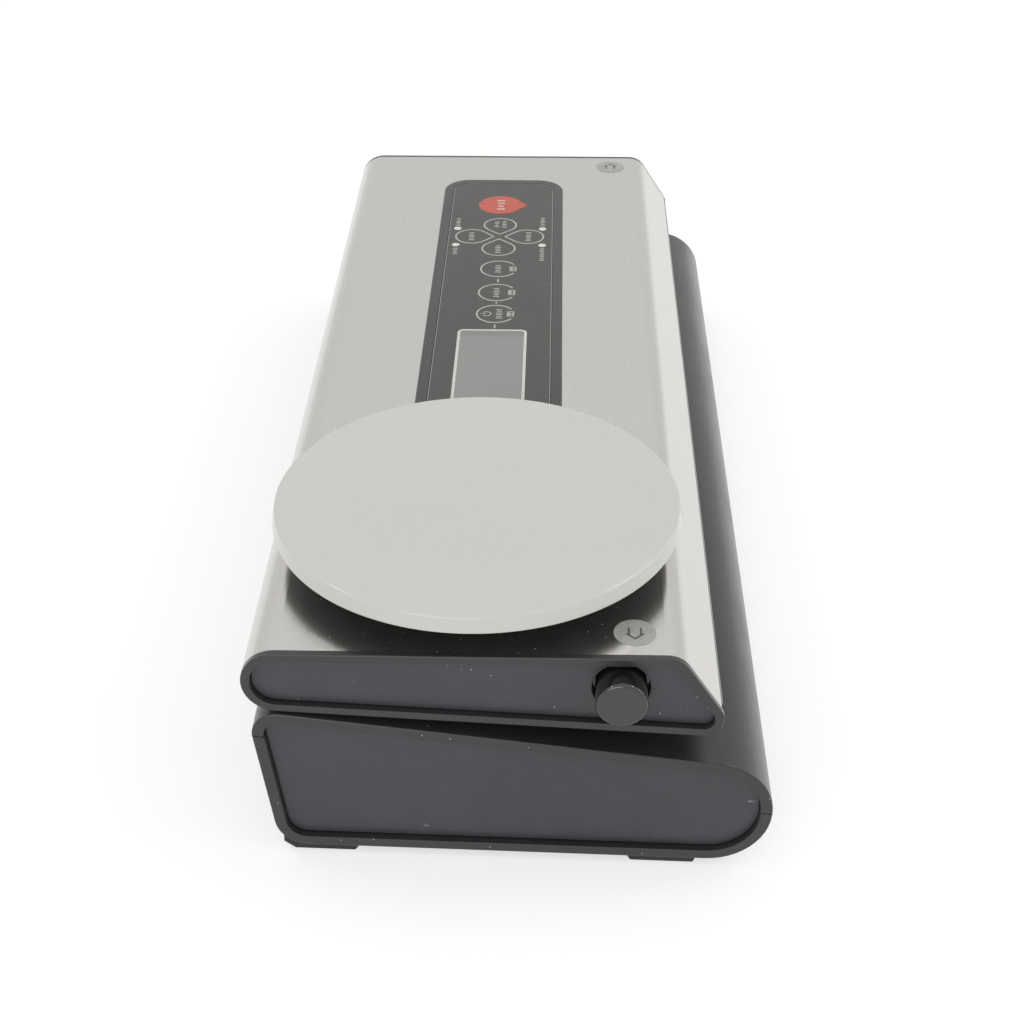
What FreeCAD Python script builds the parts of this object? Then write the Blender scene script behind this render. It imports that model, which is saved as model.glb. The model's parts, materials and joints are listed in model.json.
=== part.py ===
"""Countertop vacuum sealer with a kitchen scale on its lid.

Millimetres, +Z up, +Y to the back, X along the long bag slot.  The origin is on the worktop under the
middle of the machine.  The lid stands at its unlatched rest angle and its parts are drawn in the lid's
own frame, whose origin is the hinge axis; parts of the sloping deck are drawn in the deck's frame.
"""
import FreeCAD, Part
import math
import os
import re
import Sketcher
from types import SimpleNamespace

Vector = FreeCAD.Vector
Rotation = FreeCAD.Rotation
Placement = FreeCAD.Placement

DRIVING = {
    # base casing
    "base_length": 430.0,
    "nose_front": -90.5,
    "nose_radius": 21.9,
    "foot_height": 3.0,
    "deck_tilt": 5.74,
    "rear_corner": 87.7,
    "rear_top_radius": 9.0,
    "rear_bottom": 80.2,
    "rear_bottom_radius": 11.8,
    "parting_rear_height": 52.1,
    "parting_gap": 0.3,
    "wall": 2.5,
    "end_rim_width": 4.0,
    "end_rim_depth": 15.0,
    "cover_gap": 0.3,
    "cover_recess": 2.5,
    "cover_thickness": 2.5,
    "edge_round": 0.6,
    # hinge
    "hinge_back": 78.5,
    "hinge_height": 74.2,
    "ear_radius": 8.0,
    "ear_start": 150.0,
    "ear_width": 12.0,
    "ear_clearance": 0.5,
    "stem_rear": 4.2,
    "stem_room_top": 2.4,
    "head_room_radius": 8.6,
    "hinge_boss_width": 11.5,
    "pin_radius": 2.5,
    "pin_clearance": 0.05,
    "pin_overhang": 11.0,
    # lid
    "lid_length": 428.0,
    "lid_rest_tilt": -1.6,
    "lid_rear_radius": 12.0,
    "lid_top_front": -133.5,
    "lid_top_radius": 9.0,
    "lip_front": -155.0,
    "lip_drop": -20.8,
    "lip_radius": 6.9,
    "steel_edge_front": -10.2,
    "steel_edge_rear": -4.0,
    "sheet": 0.8,
    "sheet_gap": 0.1,
    "flange_depth": 2.5,
    "flange_width": 3.0,
    "collar_depth": 3.0,
    "panel_gap": 0.25,
    "panel_thickness": 2.1,
    "panel_recess": 2.4,
    # sealing parts, placed by their distance in front of the hinge axis
    "tray_near": 85.0,
    "tray_far": 114.0,
    "tray_half": 150.0,
    "tray_depth": 13.0,
    "tray_corner": 4.0,
    "tray_flange": 2.0,
    "port_place": -60.0,
    "port_radius": 2.6,
    "port_bore_radius": 1.5,
    "port_length": 7.0,
    "port_height": 24.0,
    "hose_bend": 9.0,
    "gasket_width": 7.0,
    "gasket_margin": 1.5,
    "gasket_proud": 2.2,
    "bar_middle": 132.0,
    "bar_width": 9.0,
    "bar_half": 157.0,
    "bar_proud": 0.6,
    "bar_height": 8.0,
    "element_width": 3.0,
    "tape_thickness": 0.15,
    # latch and release buttons
    "button_back": -114.0,
    "button_height": -1.8,
    "button_radius": 8.7,
    "button_hole_radius": 9.7,
    "button_proud": 7.4,
    "button_travel": 4.0,
    "button_inner": 204.0,
    "button_flange": 2.3,
    "button_flange_start": 205.9,
    "button_flange_rim": 2.0,
    "hook_inner": 186.0,
    "hook_thickness": 4.0,
    "hook_nose": 1.5,
    "hook_width": 12.0,
    "hook_reach": 7.0,
    "hook_top": 5.0,
    "hook_nose_height": 2.3,
    "hook_slot_start": 180.5,
    "hook_slot_length": 12.0,
    "hook_slot_width": 16.0,
    "deck_slot_start": 180.0,
    "deck_slot_length": 15.0,
    "deck_slot_width": 20.0,
    "striker_edge": 191.8,
    "striker_length": 7.0,
    "striker_width": 16.0,
    "striker_thickness": 1.4,
    "spring_radius": 4.0,
    "spring_wire": 0.5,
    "spring_turns": 6.0,
    "spring_rest_length": 16.0,
    # control panel
    "panel_left": -64.0,
    "panel_right": 180.0,
    "panel_front": -93.9,
    "panel_back": -34.5,
    "panel_radius": 13.0,
    "panel_border": 4.5,
    "panel_proud": 0.8,
    "membrane_depth": 1.0,
    "membrane_gap": 0.35,
    "display_left": -50.0,
    "display_right": 14.4,
    "display_front": -77.9,
    "display_back": -49.5,
    "lamp_far": 120.0,
    "lamp_near": 101.5,
    "lamp_front": -84.2,
    "lamp_back": -43.3,
    "lamp_radius": 1.5,
    "board_height": 5.0,
    "board_margin": 7.0,
    "board_thickness": 1.6,
    "label_radius": 7.1,
    "label_place": 199.6,
    "label_back": -118.4,
    "label_thickness": 0.15,
    # scale
    "scale_place": -141.6,
    "scale_back": -63.8,
    "platform_radius": 72.9,
    "platform_top_radius": 71.8,
    "platform_underside": 21.6,
    "platform_thickness": 6.1,
    "platform_skin": 2.9,
    "platform_rim": 1.6,
    "platform_edge": 1.2,
    "carrier_radius": 70.4,
    "carrier_thickness": 3.4,
    "post_radius": 9.0,
    "post_hole_radius": 12.0,
    "scale_travel": 0.5,
    "cell_side": 12.7,
    "cell_length": 75.0,
    "cell_top": 6.7,
    "cell_bore_radius": 4.6,
    "cell_bore_place": 6.0,
    "cell_foot_length": 20.0,
    "cell_foot_width": 18.0,
    # power inlet
    "inlet_place": 150.0,
    "inlet_height": 30.0,
    "inlet_width": 24.0,
    "inlet_tall": 14.0,
    "socket_width": 15.6,
    "socket_tall": 8.2,
    "socket_depth": 12.0,
    "inlet_pin_radius": 1.15,
    "inlet_pin_pitch": 8.6,
    "inlet_face": 83.2,
    # pump and electronics
    "pump_side": 34.0,
    "pump_height": 30.0,
    "pump_head_radius": 13.0,
    "pump_head_height": 6.0,
    "motor_radius": 14.0,
    "motor_length": 52.0,
    "motor_nose_radius": 5.0,
    "motor_nose_length": 5.0,
    "power_board_length": 70.0,
    "power_board_width": 52.0,
    "power_board_level": 11.0,
    "standoff_radius": 3.0,
    "core_length": 38.0,
    "core_width": 30.0,
    "core_height": 24.0,
    "winding_length": 26.0,
    "winding_width": 40.0,
    "winding_height": 16.0,
    "switch_length": 20.0,
    "switch_width": 6.4,
    "switch_height": 9.0,
    # feet
    "foot_start": 193.5,
    "foot_length": 20.0,
    # casing screws
    "screw_radius": 1.5,
    "screw_length": 26.0,
    "screw_head_radius": 3.0,
    "screw_head_height": 2.2,
    "boss_radius": 5.0,
    "boss_height": 24.0,
    "lid_screw_radius": 1.35,
    "lid_screw_length": 9.0,
    "lid_boss_height": 12.0,
}

doc = FreeCAD.newDocument("VacuumSealer")
sheet = doc.addObject("Spreadsheet::Sheet", "Sizes")
for row, (alias, number) in enumerate(DRIVING.items(), start=1):
    sheet.set(f"A{row}", alias)
    sheet.set(f"B{row}", str(number))
    sheet.setAlias(f"B{row}", alias)
doc.recompute()
size = SimpleNamespace(**{alias: float(sheet.get(alias)) for alias in DRIVING})

subparts = []


# ---------------------------------------------------------------- helpers
def bind(item, prop, expression):
    """Bind a property to an expression whose words are the sheet's aliases."""
    formula = re.sub(
        r"[a-z]\w*",
        lambda word: f"Sizes.{word[0]}" if word[0] in DRIVING else word[0],
        str(expression),
    )
    item.setExpression(prop, formula)


def node(item, name, frame=None):
    """Name a finished sub-part and put it in its frame."""
    item.Label = name
    if frame is not None:
        item.Placement = frame
    subparts.append(item)
    return item


def inset(corners, amounts):
    """Move the edges of a clockwise outline inwards; edge i leaves corner i."""
    count = len(corners)
    if not isinstance(amounts, list):
        amounts = [amounts] * count
    lines = []
    for index, (u, v, _) in enumerate(corners):
        next_u, next_v, _ = corners[(index + 1) % count]
        length = math.hypot(next_u - u, next_v - v)
        along_u = (next_u - u) / length
        along_v = (next_v - v) / length
        shift = amounts[index]
        lines.append((u + along_v * shift, v - along_u * shift, along_u, along_v))
    moved = []
    for index, (_, _, radius) in enumerate(corners):
        u1, v1, du1, dv1 = lines[index - 1]
        u2, v2, du2, dv2 = lines[index]
        cross = du1 * dv2 - dv1 * du2
        reach = ((u2 - u1) * dv2 - (v2 - v1) * du2) / cross
        shrink = max(amounts[index - 1], amounts[index])
        moved.append((u1 + du1 * reach, v1 + dv1 * reach, max(radius - shrink, 0.0)))
    return moved


def outline_curves(corners):
    """Lines and tangent arcs of a closed outline with corners (u, v, radius)."""
    turns = []
    count = len(corners)
    for index, (u, v, radius) in enumerate(corners):
        corner = Vector(u, v, 0)
        back = Vector(*corners[index - 1][:2], 0) - corner
        ahead = Vector(*corners[(index + 1) % count][:2], 0) - corner
        back.normalize()
        ahead.normalize()
        if radius == 0:
            turns.append((corner, None, corner))
            continue
        half = back.getAngle(ahead) / 2
        middle_way = back + ahead
        middle_way.normalize()
        centre = corner + middle_way * (radius / math.sin(half))
        tangent = radius / math.tan(half)
        turns.append((corner + back * tangent, centre - middle_way * radius, corner + ahead * tangent))
    curves = []
    for index, (start, middle, end) in enumerate(turns):
        if middle is not None:
            curves.append(Part.Arc(start, middle, end))
        next_start = turns[(index + 1) % count][0]
        if end.distanceToPoint(next_start) > 1e-6:
            curves.append(Part.LineSegment(end, next_start))
    return curves


def plane_of(body, role):
    return next(item for item in body.Origin.OriginFeatures if item.Role == role)


def new_body(name):
    return doc.addObject("PartDesign::Body", name)


def new_sketch(body, role="YZ_Plane", offset="0", frame=None):
    """A sketch on one of the body's own planes, moved along its normal or into a tilted frame."""
    sketch = body.newObject("Sketcher::SketchObject", body.Name + "_sketch")
    sketch.AttachmentSupport = [(plane_of(body, role), "")]
    sketch.MapMode = "FlatFace"
    if frame is not None:
        sketch.AttachmentOffset = frame
    else:
        bind(sketch, "AttachmentOffset.Base.z", offset)
    return sketch


def draw_outline(sketch, corners):
    curves = outline_curves(corners)
    first = sketch.addGeometry(curves, False)[0]
    for step in range(len(curves)):
        this = first + step
        other = first + (step + 1) % len(curves)
        for this_end in (1, 2):
            for other_end in (1, 2):
                gap = sketch.getPoint(this, this_end).distanceToPoint(sketch.getPoint(other, other_end))
                if gap < 1e-6:
                    link = Sketcher.Constraint("Coincident", this, this_end, other, other_end)
                    sketch.addConstraint(link)
    return sketch


def draw_rectangle(sketch, low_u, high_u, low_v, high_v):
    """A rectangle whose four sides are bound to expressions."""
    low = -1.0 - sketch.GeometryCount
    high = -low
    spots = [Vector(low, low, 0), Vector(high, low, 0), Vector(high, high, 0), Vector(low, high, 0)]
    lines = [Part.LineSegment(spots[i], spots[(i + 1) % 4]) for i in range(4)]
    first = sketch.addGeometry(lines, False)[0]
    for i in range(4):
        sketch.addConstraint(Sketcher.Constraint("Coincident", first + i, 2, first + (i + 1) % 4, 1))
        direction = "Horizontal" if i % 2 == 0 else "Vertical"
        sketch.addConstraint(Sketcher.Constraint(direction, first + i))
    for kind, line, end, expression in (
        ("DistanceX", 0, 1, low_u),
        ("DistanceY", 0, 1, low_v),
        ("DistanceX", 2, 1, high_u),
        ("DistanceY", 2, 1, high_v),
    ):
        start = sketch.getPoint(first + line, end)
        now = start.x if kind == "DistanceX" else start.y
        mark = sketch.addConstraint(Sketcher.Constraint(kind, -1, 1, first + line, end, now))
        bind(sketch, f"Constraints[{mark}]", expression)
    return sketch


def draw_circle(sketch, u, v, radius):
    """A circle whose centre and radius are bound to expressions."""
    ring = sketch.addGeometry(Part.Circle(Vector(1, 1, 0), Vector(0, 0, 1), 1), False)
    for kind, expression in (("DistanceX", u), ("DistanceY", v)):
        mark = sketch.addConstraint(Sketcher.Constraint(kind, -1, 1, ring, 3, 1))
        bind(sketch, f"Constraints[{mark}]", expression)
    mark = sketch.addConstraint(Sketcher.Constraint("Radius", ring, 1))
    bind(sketch, f"Constraints[{mark}]", radius)
    return sketch


def pad(body, sketch, length, symmetric=False, reversed_way=False):
    feature = body.newObject("PartDesign::Pad", body.Name + "_pad")
    feature.Profile = sketch
    bind(feature, "Length", length)
    feature.SideType = "Symmetric" if symmetric else "One side"
    feature.Reversed = reversed_way
    doc.recompute()
    return feature


def pocket(body, sketch, length, symmetric=False, reversed_way=False):
    """Cut a sketch out of the body, and stop if the cut misses it."""
    before = body.Shape.Volume
    feature = body.newObject("PartDesign::Pocket", body.Name + "_pocket")
    feature.Profile = sketch
    bind(feature, "Length", length)
    feature.SideType = "Symmetric" if symmetric else "One side"
    feature.Reversed = reversed_way
    doc.recompute()
    if body.Shape.Volume > before - 0.01:
        raise RuntimeError(f"{feature.Name} removed nothing from {body.Name}")
    return feature


def chosen_edges(shape, wanted):
    return [f"Edge{i + 1}" for i, edge in enumerate(shape.Edges) if wanted(edge)]


def on_plane(edge, axis, place):
    return all(abs(getattr(point, axis) - place) < 1e-4 for point in edge.discretize(3))


def round_edges(body, radius, wanted, kind="Fillet"):
    tip = body.Tip
    feature = body.newObject(f"PartDesign::{kind}", f"{body.Name}_{kind.lower()}")
    feature.Base = (tip, chosen_edges(tip.Shape, wanted))
    bind(feature, "Radius" if kind == "Fillet" else "Size", radius)
    doc.recompute()
    return feature


def extruded(name, corners, length, offset=None, symmetric=True):
    """A body that is one outline pushed along X."""
    body = new_body(name)
    sketch = new_sketch(body, "YZ_Plane", "0" if offset is None else offset)
    draw_outline(sketch, corners)
    pad(body, sketch, length, symmetric)
    return body


def box(name, corner, length, width, height, frame=None):
    """A block with its lowest corner at a point of a frame and its sides bound to the sheet."""
    item = doc.addObject("Part::Box", name)
    bind(item, "Length", length)
    bind(item, "Width", width)
    bind(item, "Height", height)
    place = Placement(Vector(*corner), Rotation())
    item.Placement = frame.multiply(place) if frame is not None else place
    return item


AXIS_TURN = {"x": Rotation(Vector(0, 1, 0), 90), "y": Rotation(Vector(1, 0, 0), -90), "z": Rotation()}


def cylinder(name, start, axis, radius, length, frame=None):
    """A round bar from a point along an axis of a frame."""
    item = doc.addObject("Part::Cylinder", name)
    bind(item, "Radius", radius)
    bind(item, "Height", length)
    place = Placement(Vector(*start), AXIS_TURN[axis])
    item.Placement = frame.multiply(place) if frame is not None else place
    return item


def fuse(name, items):
    item = doc.addObject("Part::MultiFuse", name)
    item.Shapes = items
    return item


def common(name, items):
    item = doc.addObject("Part::MultiCommon", name)
    item.Shapes = items
    return item


def cut(name, base, tools):
    """Take one or more tools away from a base."""
    item = doc.addObject("Part::Cut", name)
    item.Base = base
    item.Tool = tools[0] if len(tools) == 1 else fuse(name + "_tools", tools)
    return item


def group(name, items):
    """Separate solids that share one node."""
    item = doc.addObject("Part::Compound", name)
    item.Links = items
    return item


SIDES = (("left", -1), ("right", 1))

# ---------------------------------------------------------------- frames
hinge_point = Vector(0, size.hinge_back, size.hinge_height)
lid_frame = Placement(hinge_point, Rotation(Vector(1, 0, 0), size.lid_rest_tilt))
deck_frame = Placement(hinge_point, Rotation(Vector(1, 0, 0), size.deck_tilt))

tilt = math.radians(size.deck_tilt)
nose_middle = size.nose_front + size.nose_radius
nose_height = size.foot_height + size.nose_radius


def deck_height(y):
    """Height of the sloping deck, the tangent to the top of the round nose."""
    return nose_height + size.nose_radius / math.cos(tilt) + math.tan(tilt) * (y - nose_middle)


# distance of the deck below the hinge axis, along the deck's normal
deck_drop = (size.hinge_height - deck_height(size.hinge_back)) * math.cos(tilt)

# the lid's underside runs from the lip to a tangent of its round back edge
lip_distance = math.hypot(size.lip_front, size.lip_drop)
lid_taper = math.degrees(
    math.atan2(-size.lip_drop, -size.lip_front) - math.asin(size.lid_rear_radius / lip_distance)
)
underside_turn = Placement(Vector(), Rotation(Vector(1, 0, 0), lid_taper))
underside = -size.lid_rear_radius

# ---------------------------------------------------------------- outlines, clockwise seen from +X
# the arcs stop a little short of the parting line, so that the seam's gap fits between them
seam_radius = size.nose_radius - size.parting_gap
upper_outline = [
    (size.nose_front, nose_height, 0.0),
    (size.nose_front, deck_height(size.nose_front), seam_radius),
    (size.rear_corner, deck_height(size.rear_corner), size.rear_top_radius),
    (size.rear_corner, size.parting_rear_height, 0.0),
]
lower_outline = [
    (size.nose_front, nose_height, 0.0),
    (size.rear_corner, size.parting_rear_height, 0.0),
    (size.rear_bottom, size.foot_height, size.rear_bottom_radius),
    (size.nose_front, size.foot_height, seam_radius),
]
base_outline = upper_outline[1:] + lower_outline[2:]
through_parting = -6.0
half_gap = size.parting_gap / 2

lid_outline = [
    (size.lip_front, size.lip_drop, size.lip_radius),
    (size.lid_top_front, size.lid_rear_radius, size.lid_top_radius),
    (size.lid_rear_radius, size.lid_rear_radius, size.lid_rear_radius),
    (
        size.lid_rear_radius,
        size.lip_drop + math.tan(math.radians(lid_taper)) * (size.lid_rear_radius - size.lip_front),
        size.lid_rear_radius,
    ),
]


# ---------------------------------------------------------------- base casings
def casing_shell(name, outline, parting_edge):
    """Half of the base casing: a rounded trough, open at both ends and at the parting plane."""

    def edge_amounts(amount, at_parting):
        return [at_parting if edge == parting_edge else amount for edge in range(len(outline))]

    body = new_body(name)
    sketch = draw_outline(new_sketch(body), inset(outline, edge_amounts(0.0, half_gap)))
    pad(body, sketch, "base_length", symmetric=True)
    ends = (-size.base_length / 2, size.base_length / 2)
    seam_start = outline[parting_edge]
    seam_end = outline[(parting_edge + 1) % len(outline)]
    seam_span = math.hypot(seam_end[0] - seam_start[0], seam_end[1] - seam_start[1])

    def rim_edge(edge):
        on_end = any(on_plane(edge, "x", end) for end in ends)
        return on_end and abs(edge.Length - seam_span) > 1.0

    round_edges(body, "edge_round", rim_edge)
    sketch = draw_outline(new_sketch(body), inset(outline, edge_amounts(size.wall, through_parting)))
    pocket(body, sketch, "base_length - 2 * end_rim_depth", symmetric=True)
    sketch = draw_outline(
        new_sketch(body), inset(outline, edge_amounts(size.end_rim_width, through_parting))
    )
    pocket(body, sketch, "base_length + 2", symmetric=True)
    return body


def deck_sketch(body, height=0.0):
    """A sketch in the deck's own plane, at a height above it."""
    level = Placement(Vector(0, 0, height - deck_drop), Rotation())
    return new_sketch(body, "XY_Plane", frame=deck_frame.multiply(level))


upper = casing_shell("base_upper_casing", upper_outline, parting_edge=3)
sketch = deck_sketch(upper, 1.0)
draw_rectangle(
    sketch,
    "-(tray_half + gasket_width + 2 * gasket_margin + 1.3)",
    "tray_half + gasket_width + 2 * gasket_margin + 1.3",
    "-(tray_far + gasket_width + 2 * gasket_margin + 0.8)",
    "-(tray_near - gasket_width - 2 * gasket_margin - 0.8)",
)
draw_rectangle(
    sketch,
    "-(bar_half + 0.3)",
    "bar_half + 0.3",
    "-(bar_middle + bar_width / 2 + 0.3)",
    "-(bar_middle - bar_width / 2 - 0.3)",
)
for _, side in SIDES:
    ends = ("deck_slot_start", "deck_slot_start + deck_slot_length")
    near, far = ends if side > 0 else (f"-({ends[1]})", f"-{ends[0]}")
    front = "button_back - deck_slot_width / 2"
    back = "button_back + deck_slot_width / 2"
    draw_rectangle(sketch, near, far, front, back)
pocket(upper, sketch, "wall + 3")
for _, side in SIDES:
    near = "ear_start" if side > 0 else "-ear_start - ear_width"
    ear_corner = size.ear_radius - 0.8
    ear = [
        (-size.ear_radius - 1.0, -deck_drop - size.wall, 0.0),
        (-size.ear_radius, size.ear_radius, ear_corner),
        (size.ear_radius, size.ear_radius, ear_corner),
        (size.ear_radius, 0.4, 0.0),
        (size.stem_rear, -size.ear_radius + 0.9, 0.0),
        (size.stem_rear, -deck_drop - size.wall - 1.5, 0.0),
    ]
    turned = []
    for u, v, radius in ear:
        spot = deck_frame.multVec(Vector(0, u, v))
        turned.append((spot.y, spot.z, radius))
    sketch = draw_outline(new_sketch(upper, "YZ_Plane", near), turned)
    pad(upper, sketch, "ear_width")
sketch = draw_circle(new_sketch(upper), "hinge_back", "hinge_height", "pin_radius")
pocket(upper, sketch, "base_length", symmetric=True)
node(upper, "base_upper_casing")

lower = casing_shell("base_lower_casing", lower_outline, parting_edge=0)
screw_spots = [(x, y) for x in (-150.0, 0.0, 150.0) for y in (-52.0, 64.0)]
for x, y in screw_spots:
    sketch = draw_circle(new_sketch(lower, "XY_Plane", "foot_height + wall / 2"), x, y, "boss_radius")
    pad(lower, sketch, "boss_height")
    sketch = draw_circle(new_sketch(lower, "XY_Plane", "foot_height - 1"), x, y, "screw_head_radius + 0.4")
    pocket(lower, sketch, "4", reversed_way=True)
    sketch = draw_circle(new_sketch(lower, "XY_Plane", "foot_height - 1"), x, y, "screw_radius + 0.1")
    pocket(lower, sketch, "40", reversed_way=True)
sketch = draw_rectangle(
    new_sketch(lower, "XZ_Plane", "-60"),
    "inlet_place - inlet_width / 2 - 0.2",
    "inlet_place + inlet_width / 2 + 0.2",
    "inlet_height - inlet_tall / 2 - 0.2",
    "inlet_height + inlet_tall / 2 + 0.2",
)
pocket(lower, sketch, "40")
sketch = draw_rectangle(new_sketch(lower, "XY_Plane", "foot_height - 1"), "-62", "-59", "-10", "24")
slot = pocket(lower, sketch, "6", reversed_way=True)
vents = lower.newObject("PartDesign::LinearPattern", "vent_slots")
vents.Originals = [slot]
vents.Direction = (sketch, ["H_Axis"])
vents.Length = 54.0
vents.Occurrences = 10
lower.Tip = vents
doc.recompute()
node(lower, "base_lower_casing")

# ---------------------------------------------------------------- end covers of the base
for side_name, side in SIDES:
    cover = new_body("side_cover_" + side_name)
    outer_face = "base_length / 2 - cover_recess"
    start = f"{outer_face} - cover_thickness" if side > 0 else f"-({outer_face})"
    cover_outline = inset(base_outline, size.end_rim_width + size.cover_gap)
    pad(cover, draw_outline(new_sketch(cover, "YZ_Plane", start), cover_outline), "cover_thickness")
    skirt_start = f"{outer_face} - 9" if side > 0 else f"-({outer_face}) + cover_thickness"
    skirt = draw_outline(new_sketch(cover, "YZ_Plane", skirt_start), cover_outline)
    draw_outline(skirt, inset(cover_outline, 1.6))
    pad(cover, skirt, "9 - cover_thickness")
    face = side * (size.base_length / 2 - size.cover_recess)
    round_edges(cover, "0.4", lambda edge: on_plane(edge, "x", face))
    node(cover, "base_side_cover_" + side_name)

# ---------------------------------------------------------------- feet and casing screws
foot_height = size.foot_height
foot_profiles = {
    "front": [(-66.0, foot_height, 0.0), (-41.0, foot_height, 0.0), (-43.0, 0.0, 0.6), (-65.0, 0.0, 0.6)],
    "rear": [(52.0, foot_height, 0.0), (79.0, 9.0, 0.0), (79.0, foot_height, 0.6), (75.0, 0.0, 0.6),
             (54.0, 0.0, 0.6)],
}
feet = []
for place, profile in foot_profiles.items():
    for side_name, side in SIDES:
        start = "foot_start" if side > 0 else "-(foot_start + foot_length)"
        foot = extruded(f"foot_{place}_{side_name}", profile, "foot_length", start, symmetric=False)
        if place == "rear":
            casing = extruded(f"foot_room_{side_name}", base_outline, "base_length")
            foot = cut(f"foot_trimmed_{side_name}", foot, [casing])
        feet.append(foot)
node(group("feet", feet), "rubber_feet")

screws = []
for number, (x, y) in enumerate(screw_spots):
    shank = cylinder(f"shank_{number}", (x, y, foot_height + 2), "z", "screw_radius", "screw_length")
    seat = (x, y, foot_height + 0.8)
    head = cylinder(f"head_{number}", seat, "z", "screw_head_radius", "screw_head_height")
    screws.append(fuse(f"screw_{number}", [shank, head]))
node(group("screws", screws), "casing_screws")

# ---------------------------------------------------------------- power inlet
shell = box(
    "inlet_block",
    (
        size.inlet_place - size.inlet_width / 2,
        size.inlet_face - size.socket_depth - 4,
        size.inlet_height - size.inlet_tall / 2,
    ),
    "inlet_width",
    "socket_depth + 4",
    "inlet_tall",
)
flat_half = (size.socket_width - size.socket_tall) / 2
socket_back = size.inlet_face - size.socket_depth
socket_core = box(
    "socket_core",
    (size.inlet_place - flat_half, socket_back, size.inlet_height - size.socket_tall / 2),
    "socket_width - socket_tall",
    "socket_depth + 1",
    "socket_tall",
)
socket_ends = [
    cylinder(
        f"socket_end_{number}",
        (size.inlet_place + way * flat_half, socket_back, size.inlet_height),
        "y",
        "socket_tall / 2",
        "socket_depth + 1",
    )
    for number, way in enumerate((-1, 1))
]
node(cut("inlet", shell, [socket_core] + socket_ends), "power_inlet")
pins = [
    cylinder(
        f"inlet_pin_{number}",
        (size.inlet_place + way * size.inlet_pin_pitch / 2, socket_back, size.inlet_height),
        "y",
        "inlet_pin_radius",
        "socket_depth - 2",
    )
    for number, way in enumerate((-1, 1))
]
node(group("pins", pins), "inlet_pins")


# ---------------------------------------------------------------- vacuum channel and lower gasket
def ring_limits(margin):
    """Sides of the rectangle that stands a margin outside the vacuum channel, as expressions."""
    return (
        f"-(tray_half + ({margin}))",
        f"tray_half + ({margin})",
        f"-(tray_far + ({margin}))",
        f"-(tray_near - ({margin}))",
    )


tray = new_body("tray")
level = Placement(Vector(0, 0, -deck_drop), Rotation())
sketch = draw_rectangle(new_sketch(tray, "XY_Plane"), *ring_limits("gasket_width + 2 * gasket_margin + 0.5"))
pad(tray, sketch, "wall + tray_flange", reversed_way=True)
round_edges(tray, "tray_corner", lambda edge: abs(edge.Length - size.wall - size.tray_flange) < 1e-3)
flange_limits = ring_limits("gasket_width + 2 * gasket_margin + tray_flange")
sketch = draw_rectangle(new_sketch(tray, "XY_Plane", "-wall"), *flange_limits)
pad(tray, sketch, "tray_flange", reversed_way=True)
sketch = draw_rectangle(new_sketch(tray, "XY_Plane", "-wall"), *ring_limits("2"))
pad(tray, sketch, "tray_depth - wall + 2", reversed_way=True)
sketch = draw_rectangle(new_sketch(tray, "XY_Plane"), *ring_limits("0"))
pocket(tray, sketch, "tray_depth")
sketch = new_sketch(tray, "XY_Plane")
draw_rectangle(sketch, *ring_limits("gasket_margin + gasket_width"))
draw_rectangle(sketch, *ring_limits("gasket_margin"))
pocket(tray, sketch, "wall")
node(tray, "vacuum_channel_tray", deck_frame.multiply(level))

gasket = new_body("gasket_below")
sketch = new_sketch(gasket, "XY_Plane", "-wall")
draw_rectangle(sketch, *ring_limits("gasket_margin + gasket_width - 0.2"))
draw_rectangle(sketch, *ring_limits("gasket_margin + 0.2"))
pad(gasket, sketch, "wall + gasket_proud")
round_edges(gasket, "1", lambda edge: on_plane(edge, "z", size.gasket_proud))
node(gasket, "lower_gasket", deck_frame.multiply(level))

port_x = size.port_place
port_v = (size.tray_near + size.tray_far) / 2
port_low = -size.tray_depth - 2 - size.port_length
port_frame = deck_frame.multiply(level)
port_pipe = cylinder("port_pipe", (port_x, -port_v, port_low), "z", "port_radius", "port_length", port_frame)
port_bore = cylinder("port_bore", (port_x, -port_v, port_low - 1), "z", "port_bore_radius", "port_length + 2",
                     port_frame)
node(cut("port", port_pipe, [port_bore]), "vacuum_port")

# ---------------------------------------------------------------- heat sealing bar
bar_start = -(size.bar_middle + size.bar_width / 2)
bar_top = -deck_drop + size.bar_proud
bar = box("bar", (-size.bar_half, bar_start, bar_top - size.bar_height - 2 * size.tape_thickness),
          "2 * bar_half", "bar_width", "bar_height", deck_frame)
node(bar, "heating_bar")
element = box(
    "element",
    (-size.bar_half, -size.bar_middle - size.element_width / 2, bar_top - 2 * size.tape_thickness),
    "2 * bar_half",
    "element_width",
    "tape_thickness",
    deck_frame,
)
node(element, "heating_element")
tape = box("tape", (-size.bar_half, bar_start + 0.4, bar_top - size.tape_thickness), "2 * bar_half",
           "bar_width - 0.8", "tape_thickness", deck_frame)
node(tape, "non_stick_tape")

# ---------------------------------------------------------------- pump, hose and electronics in the base
pump_corner = Vector(-82.0, 22.0, 9.0)
pump_axis = pump_corner.y + size.pump_side / 2
motor_level = 25.0
nozzle_start = pump_corner.y - 10.0
pump_block = box("pump_block", pump_corner, "pump_side", "pump_side", "pump_height")
pump_head = cylinder(
    "pump_head",
    (pump_corner.x + size.pump_side / 2, pump_axis, pump_corner.z + size.pump_height),
    "z",
    "pump_head_radius",
    "pump_head_height",
)
pump_nozzle = cylinder("pump_nozzle", (port_x, nozzle_start, size.port_height), "y", "port_radius", "10")
node(fuse("pump", [pump_block, pump_head, pump_nozzle]), "vacuum_pump")
motor_start = pump_corner.x + size.pump_side
motor_can = cylinder("motor_can", (motor_start, pump_axis, motor_level), "x", "motor_radius", "motor_length")
motor_nose = cylinder("motor_nose", (motor_start + size.motor_length, pump_axis, motor_level), "x",
                      "motor_nose_radius", "motor_nose_length")
node(fuse("motor", [motor_can, motor_nose]), "pump_motor")

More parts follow.
